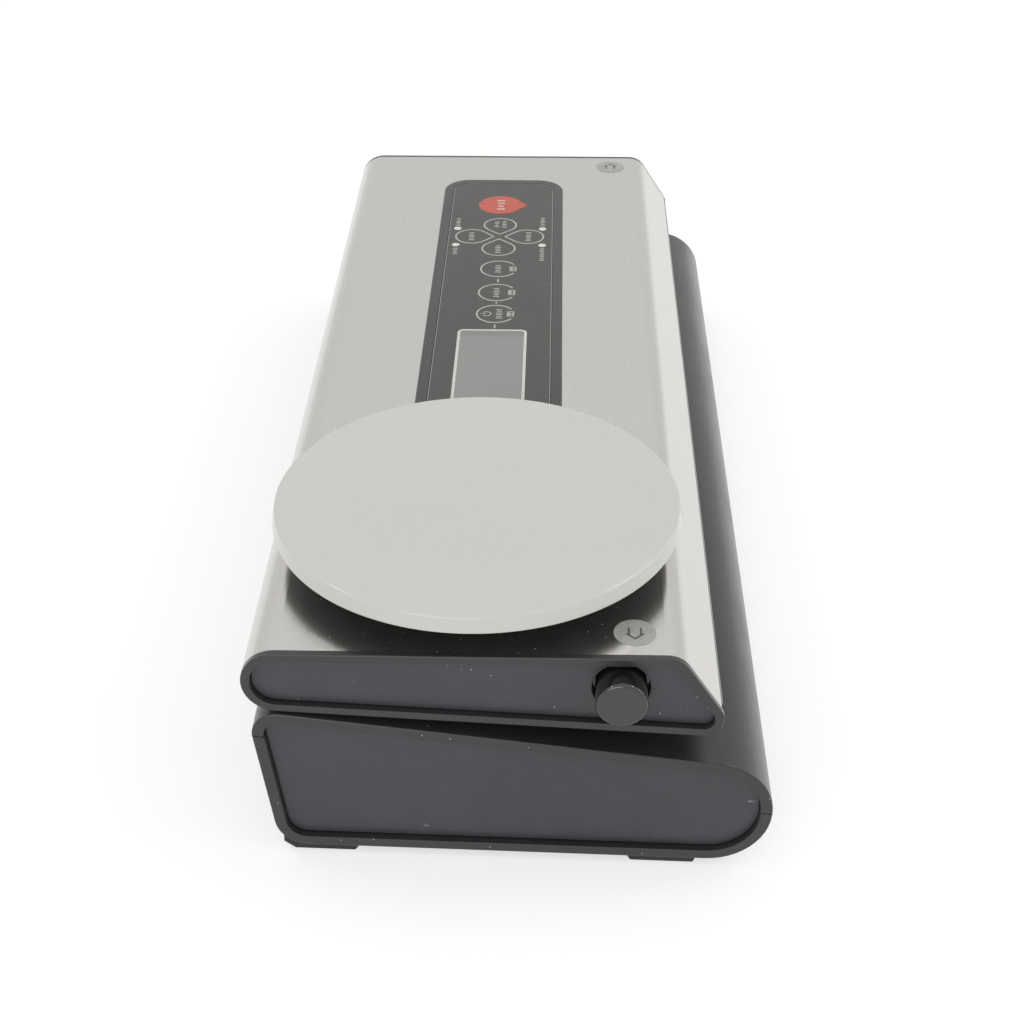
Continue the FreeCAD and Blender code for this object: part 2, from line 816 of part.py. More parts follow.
hose = doc.addObject("Part::Feature", "hose")
port_end = port_frame.multVec(Vector(port_x, -port_v, port_low))
down = port_frame.Rotation.multVec(Vector(0, 0, -1))
lead = (port_end.z - size.port_height) / -down.z
corner_spot = port_end + down * lead
ahead = Vector(0, 1, 0)
half_turn = down.negative().getAngle(ahead) / 2
tangent = size.hose_bend / math.tan(half_turn)
bend_in = corner_spot - down * tangent
bend_out = corner_spot + ahead * tangent
middle_way = down.negative() + ahead
middle_way.normalize()
bend_middle = corner_spot + middle_way * (size.hose_bend / math.sin(half_turn) - size.hose_bend)
hose_end = Vector(port_x, nozzle_start, size.port_height)
hose_path = Part.Wire([
    Part.LineSegment(port_end, bend_in).toShape(),
    Part.Arc(bend_in, bend_middle, bend_out).toShape(),
    Part.LineSegment(bend_out, hose_end).toShape(),
])
hose_ring = Part.Wire(Part.Circle(port_end, down, size.port_radius).toShape())
hose.Shape = hose_path.makePipe(Part.Face(hose_ring))
node(hose, "vacuum_hose")

board_corner = Vector(70.0, 8.0, size.power_board_level)
board = box("board", board_corner, "power_board_length", "power_board_width", "board_thickness")
standoff_spots = [(x, y) for x in (76.0, 134.0) for y in (13.0, 55.0)]
standoffs = [
    cylinder(f"standoff_{number}", (x, y, foot_height + size.wall), "z", "standoff_radius",
             "power_board_level - foot_height - wall")
    for number, (x, y) in enumerate(standoff_spots)
]
node(fuse("power", [board] + standoffs), "power_board")
core_level = size.power_board_level + size.board_thickness
core = box("core", (84.0, 20.0, core_level), "core_length", "core_width", "core_height")
winding = box("winding", (90.0, 15.0, core_level + 4), "winding_length", "winding_width", "winding_height")
node(fuse("transformer_parts", [core, winding]), "transformer")
switch = box("switch", (-176.0, -40.0, 36.0), "switch_length", "switch_width", "switch_height")
node(switch, "lid_switch")

# ---------------------------------------------------------------- strikers and hinge pins
strikers = []
hinge_pins = []
for side_name, side in SIDES:
    edge = size.striker_edge if side > 0 else -size.striker_edge - size.striker_length
    striker_corner = (
        edge,
        size.button_back - size.striker_width / 2,
        -deck_drop - size.wall - size.striker_thickness,
    )
    strikers.append(
        box("striker_" + side_name, striker_corner, "striker_length", "striker_width", "striker_thickness",
            deck_frame)
    )
    start = size.ear_start - size.pin_overhang if side > 0 else (
        -size.ear_start - size.ear_width - size.pin_overhang
    )
    hinge_pins.append(
        cylinder("hinge_pin_" + side_name, (start, size.hinge_back, size.hinge_height), "x", "pin_radius",
                 "ear_width + 2 * pin_overhang")
    )
node(group("strikers", strikers), "latch_strikers")
node(group("pins_of_hinge", hinge_pins), "hinge_pins")

# ---------------------------------------------------------------- lid cover and inner casing
steel_end = size.lid_length / 2 - size.flange_depth


def above_split(drop):
    """The space above the lower edge of the steel, which runs from the lip to the back edge."""
    return [
        (size.lip_front - 10, size.steel_edge_front - drop, 0.0),
        (size.lip_front - 10, 40.0, 0.0),
        (20.0, 40.0, 0.0),
        (20.0, size.steel_edge_rear - drop, 0.0),
    ]


cover_solid = extruded("cover_solid", lid_outline, "lid_length - 2 * flange_depth")
cover_inside = extruded("cover_inside", inset(lid_outline, size.sheet), "lid_length")
cover_zone = extruded("cover_zone", above_split(0.0), "lid_length")
cover_skin = common("cover_skin", [cut("cover_tube", cover_solid, [cover_inside]), cover_zone])


def rounded_plate(name, margin, corner, low, high):
    """A plate of the control panel's outline, shrunk by a margin, between two heights."""
    body = new_body(name)
    sketch = draw_rectangle(
        new_sketch(body, "XY_Plane", low),
        f"panel_left + ({margin})",
        f"panel_right - ({margin})",
        f"panel_front + ({margin})",
        f"panel_back - ({margin})",
    )
    pad(body, sketch, f"({high}) - ({low})")
    round_edges(body, corner, lambda edge: edge.Curve.TypeId == "Part::GeomLine" and abs(
        edge.tangentAt(edge.FirstParameter).z) > 0.9)
    return body


panel_hole = rounded_plate("panel_hole", "3", "panel_radius - 3", "0", "20")
post_hole = cylinder("post_hole", (size.scale_place, size.scale_back, 0), "z", "post_hole_radius", "20")
ear_notches = []
for side_name, side in SIDES:
    notch_start = side * (size.ear_start + size.ear_width / 2) - size.ear_width / 2 - size.ear_clearance
    notch_width = "ear_width + 2 * ear_clearance"
    ear_notches.append(
        box(f"stem_room_{side_name}", (notch_start, -9.5, -20.0), notch_width, "30", "20 + stem_room_top")
    )
    ear_notches.append(
        cylinder(f"head_room_{side_name}", (notch_start, 0.0, 0.0), "x", "head_room_radius", notch_width)
    )
node(cut("cover", cover_skin, [panel_hole, post_hole] + ear_notches), "lid_steel_cover", lid_frame)

inner_end = steel_end - size.collar_depth - 0.2
skin = size.sheet + size.sheet_gap
inner_solid = extruded("inner_solid", lid_outline, "lid_length - 2 * flange_depth - 2 * collar_depth - 0.4")
sheet_room = cut(
    "sheet_room",
    extruded("around_lid", inset(lid_outline, -5.0), "lid_length + 20"),
    [extruded("below_sheet", inset(lid_outline, skin), "lid_length + 30")],
)
above_lip = extruded("above_lip", above_split(0.3), "lid_length + 40")
sheet_room = common("sheet_room_above", [sheet_room, above_lip])
inner_room = extruded(
    "inner_room",
    inset(lid_outline, [skin + size.wall, through_parting, skin + size.wall, 3.0]),
    "lid_length",
)
inner_shell = cut("inner_shell", inner_solid, [sheet_room, inner_room])
boss_outline = [(-13.0, -11.6, 0.0), (-13.0, 10.0, 0.0), (10.5, 10.0, 10.0), (10.5, -10.4, 10.0)]
inner_adds = []
boss_starts = (
    ("in", size.ear_start - size.ear_clearance - size.hinge_boss_width),
    ("out", size.ear_start + size.ear_width + size.ear_clearance),
)
for side_name, side in SIDES:
    for place, start in boss_starts:
        low = start if side > 0 else -start - size.hinge_boss_width
        boss_name = f"hinge_boss_{place}_{side_name}"
        inner_adds.append(extruded(boss_name, boss_outline, "hinge_boss_width", low, False))
    rib_start = size.hook_inner - size.spring_rest_length - 4
    low = rib_start if side > 0 else -rib_start - 4
    inner_adds.append(
        box(f"spring_rib_{side_name}", (low, size.button_back - 7, underside + 1), "4", "14", "22",
            underside_turn)
    )
seal_block_front = size.bar_middle + 7.5
seal_block_rear = size.tray_near - size.gasket_width - 7.0
inner_adds.append(
    box("seal_block", (-166.0, -seal_block_front, underside + 1.0), "332",
        seal_block_front - seal_block_rear, "6.5", underside_turn)
)
cell_foot_start = size.scale_place - size.cell_length / 2
cell_bottom = size.cell_top - size.cell_side
cell_foot = box("cell_foot", (cell_foot_start, size.scale_back - size.cell_foot_width / 2, underside),
                "cell_foot_length", "cell_foot_width", cell_bottom - underside)
inner_adds.append(cell_foot)
lid_screw_spots = [(x, 58.0) for x in (-196.0, -70.0, 70.0, 196.0)]
for number, (x, reach) in enumerate(lid_screw_spots):
    inner_adds.append(
        cylinder(f"lid_boss_{number}", (x, -reach, underside + 1), "z", "boss_radius", "lid_boss_height",
                 underside_turn)
    )


def underside_ring(name, outer, inner, low, high):
    """A rectangular ring around the vacuum channel, in the frame of the lid's underside."""
    body = new_body(name)
    sketch = new_sketch(body, "XY_Plane", low)
    draw_rectangle(sketch, *ring_limits(outer))
    draw_rectangle(sketch, *ring_limits(inner))
    pad(body, sketch, f"({high}) - ({low})")
    body.Placement = underside_turn
    return body


gasket_groove = underside_ring("gasket_groove", "gasket_margin + gasket_width + 2.5", "gasket_margin - 2",
                               "-lid_rear_radius - 3", "-lid_rear_radius + 5")
strip_groove = box("strip_groove", (-size.bar_half - 1, -(size.bar_middle + 5.25), underside - 3),
                   "2 * bar_half + 2", "10.5", "7", underside_turn)
inner_cuts = [gasket_groove, strip_groove] + ear_notches
for side_name, side in SIDES:
    low = size.hook_slot_start if side > 0 else -size.hook_slot_start - size.hook_slot_length
    slot_corner = (low, size.button_back - size.hook_slot_width / 2, underside - 5)
    inner_cuts.append(
        box(
            f"hook_slot_{side_name}",
            slot_corner,
            "hook_slot_length",
            "hook_slot_width",
            "20",
            underside_turn,
        )
    )
    start = size.ear_start - 13 if side > 0 else -size.ear_start - size.ear_width - 13
    inner_cuts.append(
        cylinder(f"pin_hole_{side_name}", (start, 0, 0), "x", "pin_radius + pin_clearance", "ear_width + 26")
    )
for number, (x, reach) in enumerate(lid_screw_spots):
    inner_cuts.append(
        cylinder(f"lid_bore_{number}", (x, -reach, underside - 1), "z", "1.4", "15", underside_turn)
    )
    inner_cuts.append(
        cylinder(f"lid_sink_{number}", (x, -reach, underside - 1), "z", "3.3", "2.8", underside_turn)
    )
inner_casing = cut("inner_casing", fuse("inner_filled", [inner_shell] + inner_adds), inner_cuts)
node(inner_casing, "lid_inner_casing", lid_frame)

upper_gasket = underside_ring("upper_gasket_ring", "gasket_margin + gasket_width + 2", "gasket_margin - 1.5",
                              "-lid_rear_radius + 2", "-lid_rear_radius + 5")
node(upper_gasket, "upper_gasket", lid_frame.multiply(underside_turn))
strip = box("strip", (-size.bar_half, -(size.bar_middle + 4.5), underside + 0.8), "2 * bar_half", "9", "3.2",
            lid_frame.multiply(underside_turn))
node(strip, "pressure_strip")
lid_screws = []
for number, (x, reach) in enumerate(lid_screw_spots):
    shank = cylinder(f"lid_shank_{number}", (x, -reach, underside + 1.5), "z", "lid_screw_radius",
                     "lid_screw_length", underside_turn)
    head = cylinder(f"lid_head_{number}", (x, -reach, underside + 0.3), "z", "screw_head_radius", "1.5",
                    underside_turn)
    lid_screws.append(fuse(f"lid_screw_{number}", [shank, head]))
node(group("screws_of_lid", lid_screws), "lid_screws", lid_frame)

# ---------------------------------------------------------------- end caps of the lid
for side_name, side in SIDES:
    face = size.lid_length / 2

    def along(distance, depth):
        """Low end, as an expression, of a slice that starts a distance inside the lid's end face."""
        return f"lid_length / 2 - ({distance}) - ({depth})" if side > 0 else f"-lid_length / 2 + ({distance})"

    cap = new_body("end_cap_" + side_name)
    sketch = draw_outline(new_sketch(cap, "YZ_Plane", along("0", "flange_depth")), lid_outline)
    pad(cap, sketch, "flange_depth")
    round_edges(cap, "0.5", lambda edge: on_plane(edge, "x", side * face))
    collar = new_sketch(cap, "YZ_Plane", along("flange_depth", "collar_depth"))
    pad(cap, draw_outline(collar, inset(lid_outline, skin)), "collar_depth")
    well = new_sketch(cap, "YZ_Plane", along("0", "panel_recess + panel_thickness"))
    pocket(cap, draw_outline(well, inset(lid_outline, size.flange_width)), "panel_recess + panel_thickness",
           reversed_way=True)
    window = new_sketch(cap, "YZ_Plane", along("0", "flange_depth + collar_depth"))
    pocket(cap, draw_outline(window, inset(lid_outline, size.flange_width + 2.0)),
           "flange_depth + collar_depth", reversed_way=True)
    node(cap, "lid_end_cap_" + side_name, lid_frame)

    panel = new_body("end_panel_" + side_name)
    sketch = new_sketch(panel, "YZ_Plane", along("panel_recess", "panel_thickness"))
    panel_edge = inset(lid_outline, size.flange_width + size.panel_gap)
    pad(panel, draw_outline(sketch, panel_edge), "panel_thickness")
    hole = new_sketch(panel, "YZ_Plane", along("panel_recess", "panel_thickness"))
    pocket(panel, draw_circle(hole, "button_back", "button_height", "button_hole_radius"), "panel_thickness",
           reversed_way=True)
    panel_face = side * (face - size.panel_recess)
    round_edges(panel, "0.35", lambda edge: on_plane(edge, "x", panel_face))
    node(panel, "lid_end_panel_" + side_name, lid_frame)

# ---------------------------------------------------------------- release buttons, hooks and springs
hook_low = underside - size.hook_reach
hook_high = size.hook_top
for side_name, side in SIDES:
    button = new_body("button_" + side_name)
    start = "button_inner" if side > 0 else "-(lid_length / 2 + button_proud)"
    sketch = draw_circle(new_sketch(button, "YZ_Plane", start), "button_back", "button_height",
                         "button_radius")
    pad(button, sketch, "lid_length / 2 + button_proud - button_inner")
    outer_face = side * (size.lid_length / 2 + size.button_proud)
    round_edges(button, "1.2", lambda edge: on_plane(edge, "x", outer_face))
    start = "button_flange_start" if side > 0 else "-(button_flange_start + button_flange)"
    sketch = draw_circle(new_sketch(button, "YZ_Plane", start), "button_back", "button_height",
                         "button_radius + button_flange_rim")
    pad(button, sketch, "button_flange")
    node(button, "release_button_" + side_name, lid_frame)

    stem_start = size.hook_inner if side > 0 else -size.hook_inner - size.hook_thickness
    hook_back = size.button_back - size.hook_width / 2
    stem = box(f"stem_{side_name}", (stem_start, hook_back, hook_low), "hook_thickness", "hook_width",
               hook_high - hook_low, underside_turn)
    nose_start = size.hook_inner if side > 0 else -size.hook_inner - size.hook_thickness - size.hook_nose
    nose = box(f"nose_{side_name}", (nose_start, hook_back, hook_low), "hook_thickness + hook_nose",
               "hook_width", "hook_nose_height", underside_turn)
    arm_start = size.hook_inner if side > 0 else -size.button_inner
    arm = box(f"arm_{side_name}", (arm_start, hook_back, hook_high - size.hook_thickness),
              "button_inner - hook_inner", "hook_width", "hook_thickness", underside_turn)
    node(fuse("hook_" + side_name, [stem, nose, arm]), "latch_hook_" + side_name, lid_frame)

    spring = doc.addObject("Part::Feature", "spring_" + side_name)
    pitch = (size.spring_rest_length - 3 * size.spring_wire) / size.spring_turns
    coil = Part.makeHelix(pitch, pitch * size.spring_turns, size.spring_radius)
    tip = coil.Edges[0].valueAt(coil.Edges[0].FirstParameter)
    lead_way = coil.Edges[0].tangentAt(coil.Edges[0].FirstParameter)
    wire = Part.Wire(Part.Circle(tip, lead_way, size.spring_wire).toShape())
    spring_shape = Part.Wire(coil.Edges).makePipeShell([wire], True, True)
    low = size.hook_inner - size.spring_rest_length if side > 0 else -size.hook_inner
    offset = Vector(low + 1.5 * size.spring_wire, size.button_back, size.button_height)
    spring.Shape = spring_shape
    node(spring, "button_spring_" + side_name, lid_frame.multiply(Placement(offset, AXIS_TURN["x"])))

# ---------------------------------------------------------------- control panel
lid_top = "lid_rear_radius"
bezel_flange = rounded_plate("bezel_flange", "0", "panel_radius", lid_top, f"{lid_top} + panel_proud")
flange_top = size.lid_rear_radius + size.panel_proud
round_edges(bezel_flange, "0.45", lambda edge: on_plane(edge, "z", flange_top))
bezel_body = rounded_plate("bezel_body", "3.2", "panel_radius - 3.2", f"{lid_top} - 4", lid_top)
bezel_recess = rounded_plate("bezel_recess", "panel_border", "panel_radius - panel_border",
                             f"{lid_top} + panel_proud - membrane_depth", f"{lid_top} + 5")
bezel_hollow = rounded_plate("bezel_hollow", "5", "panel_radius - 5", f"{lid_top} - 6",
                             f"{lid_top} + panel_proud - membrane_depth - 1.5")


def display_block(name, shrink, low, high):
    """A block of the display's outline, shrunk on every side."""
    body = new_body(name)
    sketch = draw_rectangle(
        new_sketch(body, "XY_Plane", low),
        f"display_left + {shrink}",
        f"display_right - {shrink}",
        f"display_front + {shrink}",
        f"display_back - {shrink}",
    )
    pad(body, sketch, f"({high}) - ({low})")
    round_edges(body, "2", lambda edge: abs(edge.tangentAt(edge.FirstParameter).z) > 0.9)
    return body


led_spots = [(x, y) for x in (size.lamp_near, size.lamp_far) for y in (size.lamp_front, size.lamp_back)]
led_holes = [
    cylinder(f"led_hole_{number}", (x, y, 5.0), "z", "lamp_radius + 0.3", "10")
    for number, (x, y) in enumerate(led_spots)
]
bezel_window = display_block("bezel_window", "0", "2", f"{lid_top} + 5")
bezel = cut("bezel", fuse("bezel_plates", [bezel_flange, bezel_body]),
            [bezel_recess, bezel_hollow, bezel_window] + led_holes)
node(bezel, "control_panel_bezel", lid_frame)

membrane_plate = rounded_plate("membrane_plate", "panel_border + membrane_gap",
                               "panel_radius - panel_border - membrane_gap",
                               f"{lid_top} + panel_proud - membrane_depth", f"{lid_top} + panel_proud - 0.1")
membrane_window = display_block("membrane_window", "0", "2", f"{lid_top} + 5")
node(cut("membrane", membrane_plate, [membrane_window]), "control_membrane", lid_frame)
window = display_block("window", "0.2", f"{lid_top} - 0.7", f"{lid_top} + panel_proud - 0.15")
node(window, "display_window", lid_frame)
node(display_block("lcd", "1", "board_height + board_thickness", f"{lid_top} - 0.8"), "lcd_module", lid_frame)
control_board = box(
    "control_board_plate",
    (size.panel_left + size.board_margin, size.panel_front + size.board_margin, size.board_height),
    "panel_right - panel_left - 2 * board_margin",
    "panel_back - panel_front - 2 * board_margin",
    "board_thickness",
    lid_frame,
)
node(control_board, "control_board")
leds = [
    cylinder(f"led_{number}", (x, y, size.board_height + size.board_thickness), "z", "lamp_radius",
             "lid_rear_radius + panel_proud - membrane_depth - board_height - board_thickness")
    for number, (x, y) in enumerate(led_spots)
]
node(group("leds", leds), "indicator_leds", lid_frame)
labels = [
    cylinder(f"label_{side_name}", (side * size.label_place, size.label_back, size.lid_rear_radius), "z",
             "label_radius", "label_thickness")
    for side_name, side in SIDES
]
node(group("labels", labels), "push_labels", lid_frame)

# ---------------------------------------------------------------- scale
cell = box("cell_bar", (cell_foot_start, size.scale_back - size.cell_side / 2, cell_bottom), "cell_length",
           "cell_side", "cell_side")
cell_bores = [
    cylinder(f"cell_bore_{number}",
             (size.scale_place + way * size.cell_bore_place, size.scale_back - 10,
              cell_bottom + size.cell_side / 2), "y", "cell_bore_radius", "20")
    for number, way in enumerate((-1, 1))
]
node(cut("cell", cell, cell_bores), "load_cell", lid_frame)

carrier_top = size.platform_underside + size.platform_thickness - size.platform_skin - 0.05
carrier = new_body("carrier")
sketch = draw_circle(new_sketch(carrier, "XY_Plane", carrier_top), "scale_place", "scale_back",
                     "carrier_radius")
pad(carrier, sketch, "carrier_thickness", reversed_way=True)
round_edges(carrier, "1", lambda edge: on_plane(edge, "z", carrier_top - size.carrier_thickness))
sketch = draw_circle(new_sketch(carrier, "XY_Plane", carrier_top), "scale_place", "scale_back", "post_radius")
post_bottom = size.cell_top + size.scale_travel + 0.1
pad(carrier, sketch, carrier_top - post_bottom, reversed_way=True)
node(carrier, "scale_carrier", lid_frame)

platform = new_body("platform")
platform_top = size.platform_underside + size.platform_thickness
skin_bottom = platform_top - size.platform_skin
rim_inner = size.platform_radius - size.platform_rim
profile = [
    (0.0, skin_bottom, 0.0),
    (0.0, platform_top, 0.0),
    (size.platform_top_radius, platform_top, size.platform_edge),
    (size.platform_radius, size.platform_underside, 0.6),
    (rim_inner, size.platform_underside, 0.6),
    (rim_inner, skin_bottom, 0.8),
]
sketch = draw_outline(new_sketch(platform, "XZ_Plane"), profile)
turn = platform.newObject("PartDesign::Revolution", "platform_turn")
turn.Profile = sketch
turn.ReferenceAxis = (sketch, ["V_Axis"])
turn.Angle = 360.0
doc.recompute()
scale_axis = Placement(Vector(size.scale_place, size.scale_back, 0), Rotation())
node(platform, "scale_platform", lid_frame.multiply(scale_axis))


# ---------------------------------------------------------------- checks and files
doc.recompute()
for item in doc.Objects:
    if "Invalid" in item.State or "Error" in item.State:
        raise RuntimeError(f"{item.Name} is {item.State}")
os.makedirs("parts", exist_ok=True)
for item in subparts:
    shape = item.Shape
    if shape.isNull() or not shape.isValid() or not shape.Solids:
        raise RuntimeError(f"{item.Label} has no valid solid")
    shape.exportStep(f"parts/{item.Label}.step")
    print(f"{item.Label}: {len(shape.Solids)} solid(s), {shape.Volume / 1000:.2f} cm3")
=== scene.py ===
"""Looks of the vacuum sealer: a finish for every CAD node, the printing, and the studio."""
import json
import math

import bmesh
import bpy
from mathutils import Matrix, Vector


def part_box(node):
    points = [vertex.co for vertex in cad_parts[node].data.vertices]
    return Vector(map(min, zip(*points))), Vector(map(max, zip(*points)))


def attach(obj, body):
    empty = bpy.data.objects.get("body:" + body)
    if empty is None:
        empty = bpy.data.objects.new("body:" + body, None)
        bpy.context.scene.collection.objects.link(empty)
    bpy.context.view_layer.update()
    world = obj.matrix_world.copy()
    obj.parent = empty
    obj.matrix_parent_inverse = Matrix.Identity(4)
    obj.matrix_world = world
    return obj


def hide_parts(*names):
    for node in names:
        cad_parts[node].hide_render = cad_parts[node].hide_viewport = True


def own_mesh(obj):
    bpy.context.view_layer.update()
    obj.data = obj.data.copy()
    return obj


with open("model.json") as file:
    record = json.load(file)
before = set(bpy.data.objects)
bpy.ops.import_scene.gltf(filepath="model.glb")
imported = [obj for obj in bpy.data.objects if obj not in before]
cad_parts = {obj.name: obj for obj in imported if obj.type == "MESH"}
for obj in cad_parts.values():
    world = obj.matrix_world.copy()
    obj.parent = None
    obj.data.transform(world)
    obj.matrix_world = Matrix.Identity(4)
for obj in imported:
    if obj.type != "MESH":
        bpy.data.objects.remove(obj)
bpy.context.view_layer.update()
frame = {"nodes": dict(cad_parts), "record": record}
nodes = frame["nodes"]
scene = bpy.context.scene
MM = 0.001

# the lid's own frame: the hinge axis, and the tilt at which the unlatched lid stands
HINGE = Vector((0.0, 78.5 * MM, 74.2 * MM))
LID_TILT = math.radians(-1.6)
LID_TURN = Matrix.Translation(HINGE) @ Matrix.Rotation(LID_TILT, 4, "X")
LID_FRAME = LID_TURN @ Matrix.Diagonal((MM, MM, MM, 1.0))


# ---------------------------------------------------------------- colour and node helpers
def linear(red, green, blue):
    """Screen values from 0 to 255 as a linear colour."""
    parts = []
    for value in (red, green, blue):
        share = value / 255.0
        parts.append(share / 12.92 if share <= 0.04045 else ((share + 0.055) / 1.055) ** 2.4)
    return (*parts, 1.0)


def scaled(colour, factor):
    """A linear colour made lighter or darker."""
    return tuple(min(max(part * factor, 0.0), 1.0) for part in colour[:3]) + (1.0,)


class Finish:
    """A node material that is built up from layers of procedural detail."""

    def __init__(self, name, **sockets):
        self.material = bpy.data.materials.new(name)
        self.material.use_nodes = True
        self.tree = self.material.node_tree
        self.tree.nodes.clear()
        out = self.tree.nodes.new("ShaderNodeOutputMaterial")
        self.shader = self.tree.nodes.new("ShaderNodeBsdfPrincipled")
        self.link(self.shader.outputs["BSDF"], out.inputs["Surface"])
        self.places = self.tree.nodes.new("ShaderNodeTexCoord").outputs["Object"]
        for socket, value in sockets.items():
            self.shader.inputs[socket.replace("_", " ")].default_value = value

    def link(self, start, end):
        self.tree.links.new(start, end)

    def feed(self, socket, value):
        """Put a number, a colour or another node's output into a socket."""
        if isinstance(value, bpy.types.NodeSocket):
            self.link(value, socket)
        else:
            socket.default_value = value

    def stretched(self, stretch):
        """The place on the object, scaled along each axis: a low number draws a pattern out."""
        mapping = self.tree.nodes.new("ShaderNodeMapping")
        self.link(self.places, mapping.inputs["Vector"])
        mapping.inputs["Scale"].default_value = stretch
        return mapping.outputs["Vector"]

    def noise(self, scale, detail=3.0, rough=0.5, stretch=(1.0, 1.0, 1.0), shift=0.0):
        """Cloudy noise, scale in cells per metre; shift picks another pattern."""
        node = self.tree.nodes.new("ShaderNodeTexNoise")
        node.noise_dimensions = "4D"
        self.link(self.stretched(stretch), node.inputs["Vector"])
        node.inputs["W"].default_value = shift
        node.inputs["Scale"].default_value = scale
        node.inputs["Detail"].default_value = detail
        node.inputs["Roughness"].default_value = rough
        return node.outputs["Fac"]

    def cells(self, scale, feature="F1", stretch=(1.0, 1.0, 1.0)):
        """Distance to the nearest cell's centre, or to its edge, scale in cells per metre."""
        node = self.tree.nodes.new("ShaderNodeTexVoronoi")
        node.feature = feature
        self.link(self.stretched(stretch), node.inputs["Vector"])
        node.inputs["Scale"].default_value = scale
        return node.outputs["Distance"]

    def dust(self, scale, share, radius=0.09):
        """1 on a few small specks, 0 elsewhere: some of the cells of a loose packing."""
        node = self.tree.nodes.new("ShaderNodeTexVoronoi")
        self.link(self.places, node.inputs["Vector"])
        node.inputs["Scale"].default_value = scale
        chance = self.tree.nodes.new("ShaderNodeSeparateColor")
        self.link(node.outputs["Color"], chance.inputs["Color"])
        chosen = self.math("LESS_THAN", chance.outputs["Red"], share)
        speck = self.span(node.outputs["Distance"], radius * 0.5, radius, 1.0, 0.0)
        return self.math("MULTIPLY", speck, chosen)

    def math(self, operation, first, second=0.5):
        node = self.tree.nodes.new("ShaderNodeMath")
        node.operation = operation
        self.feed(node.inputs[0], first)
        self.feed(node.inputs[1], second)
        return node.outputs[0]

    def span(self, value, low, high, to_low=0.0, to_high=1.0):
        """Map a range of a value to another range, with smooth ends."""
        node = self.tree.nodes.new("ShaderNodeMapRange")
        node.interpolation_type = "SMOOTHSTEP"
        self.feed(node.inputs["Value"], value)
        self.feed(node.inputs["From Min"], low)
        self.feed(node.inputs["From Max"], high)
        self.feed(node.inputs["To Min"], to_low)
        self.feed(node.inputs["To Max"], to_high)
        return node.outputs["Result"]

    def mix(self, share, first, second):
        """Blend two colours: a Mix node has them at inputs 6 and 7, and at output 2."""
        node = self.tree.nodes.new("ShaderNodeMix")
        node.data_type = "RGBA"
        self.feed(node.inputs[0], share)
        self.feed(node.inputs[6], first)
        self.feed(node.inputs[7], second)
        return node.outputs[2]

    def bump(self, height, depth, strength=1.0):
        """Turn a height from 0 to 1 into a relief of that depth in metres."""
        node = self.tree.nodes.new("ShaderNodeBump")
        self.feed(node.inputs["Height"], height)
        node.inputs["Distance"].default_value = depth
        node.inputs["Strength"].default_value = strength
        return node.outputs["Normal"]

    def along(self, axis):
        """One coordinate of the place on the object, in metres."""
        node = self.tree.nodes.new("ShaderNodeSeparateXYZ")
        self.link(self.places, node.inputs[0])
        return node.outputs[axis]

    def colour(self, value):
        self.feed(self.shader.inputs["Base Color"], value)
        return self

    def roughness(self, value):
        self.feed(self.shader.inputs["Roughness"], value)
        return self

    def normal(self, value):
        self.link(value, self.shader.inputs["Normal"])
        return self


# ---------------------------------------------------------------- finishes
SCUFF_GREY = (0.35, 0.35, 0.35, 1.0)
DUST_GREY = (0.42, 0.42, 0.41, 1.0)


def moulded(name, colour, low_rough, high_rough, grain=1400.0, grain_depth=0.00002, smudge=0.12,
            scuffs=0.0, specks=0.0, **sockets):
    """Moulded plastic: a fine grain, faint cloudy tone, handling smudges and a few light scuffs."""
    look = Finish(name, **sockets)
    clouds = look.noise(14.0, 4.0, 0.55)
    fine = look.noise(260.0, 2.0, 0.6, shift=3.0)
    darker = scaled(colour, 1.0 - smudge)
    lighter = scaled(colour, 1.0 + smudge)
    tone = look.mix(look.span(clouds, 0.3, 0.7), darker, lighter)
    tone = look.mix(look.span(fine, 0.35, 0.75, 0.0, 0.3), tone, scaled(colour, 1.0 + smudge * 2.0))
    wipe = look.noise(34.0, 3.0, 0.6, stretch=(1.0, 2.6, 1.0), shift=7.0)
    rough = look.span(wipe, 0.35, 0.7, low_rough, high_rough)
    if scuffs:
        scratch = look.noise(90.0, 2.0, 0.5, stretch=(0.25, 1.0, 3.0), shift=11.0)
        field = look.noise(22.0, 2.0, 0.5, shift=19.0)
        mark = look.math("MULTIPLY", look.span(scratch, 0.70, 0.78), look.span(field, 0.55, 0.7))
        mark = look.math("MULTIPLY", mark, scuffs)
        tone = look.mix(mark, tone, SCUFF_GREY)
        rough = look.math("ADD", rough, look.math("MULTIPLY", mark, 0.2))
    if specks:
        tone = look.mix(look.dust(330.0, specks), tone, DUST_GREY)
    grit = look.noise(grain, 2.0, 0.6, shift=5.0)
    look.colour(tone).roughness(rough).normal(look.bump(grit, grain_depth))
    return look.material


STEEL_LIGHT = linear(204, 203, 200)
STEEL_DARK = linear(197, 196, 192)
STEEL_SMUDGE = linear(191, 190, 186)
STEEL_DUST = linear(228, 227, 224)


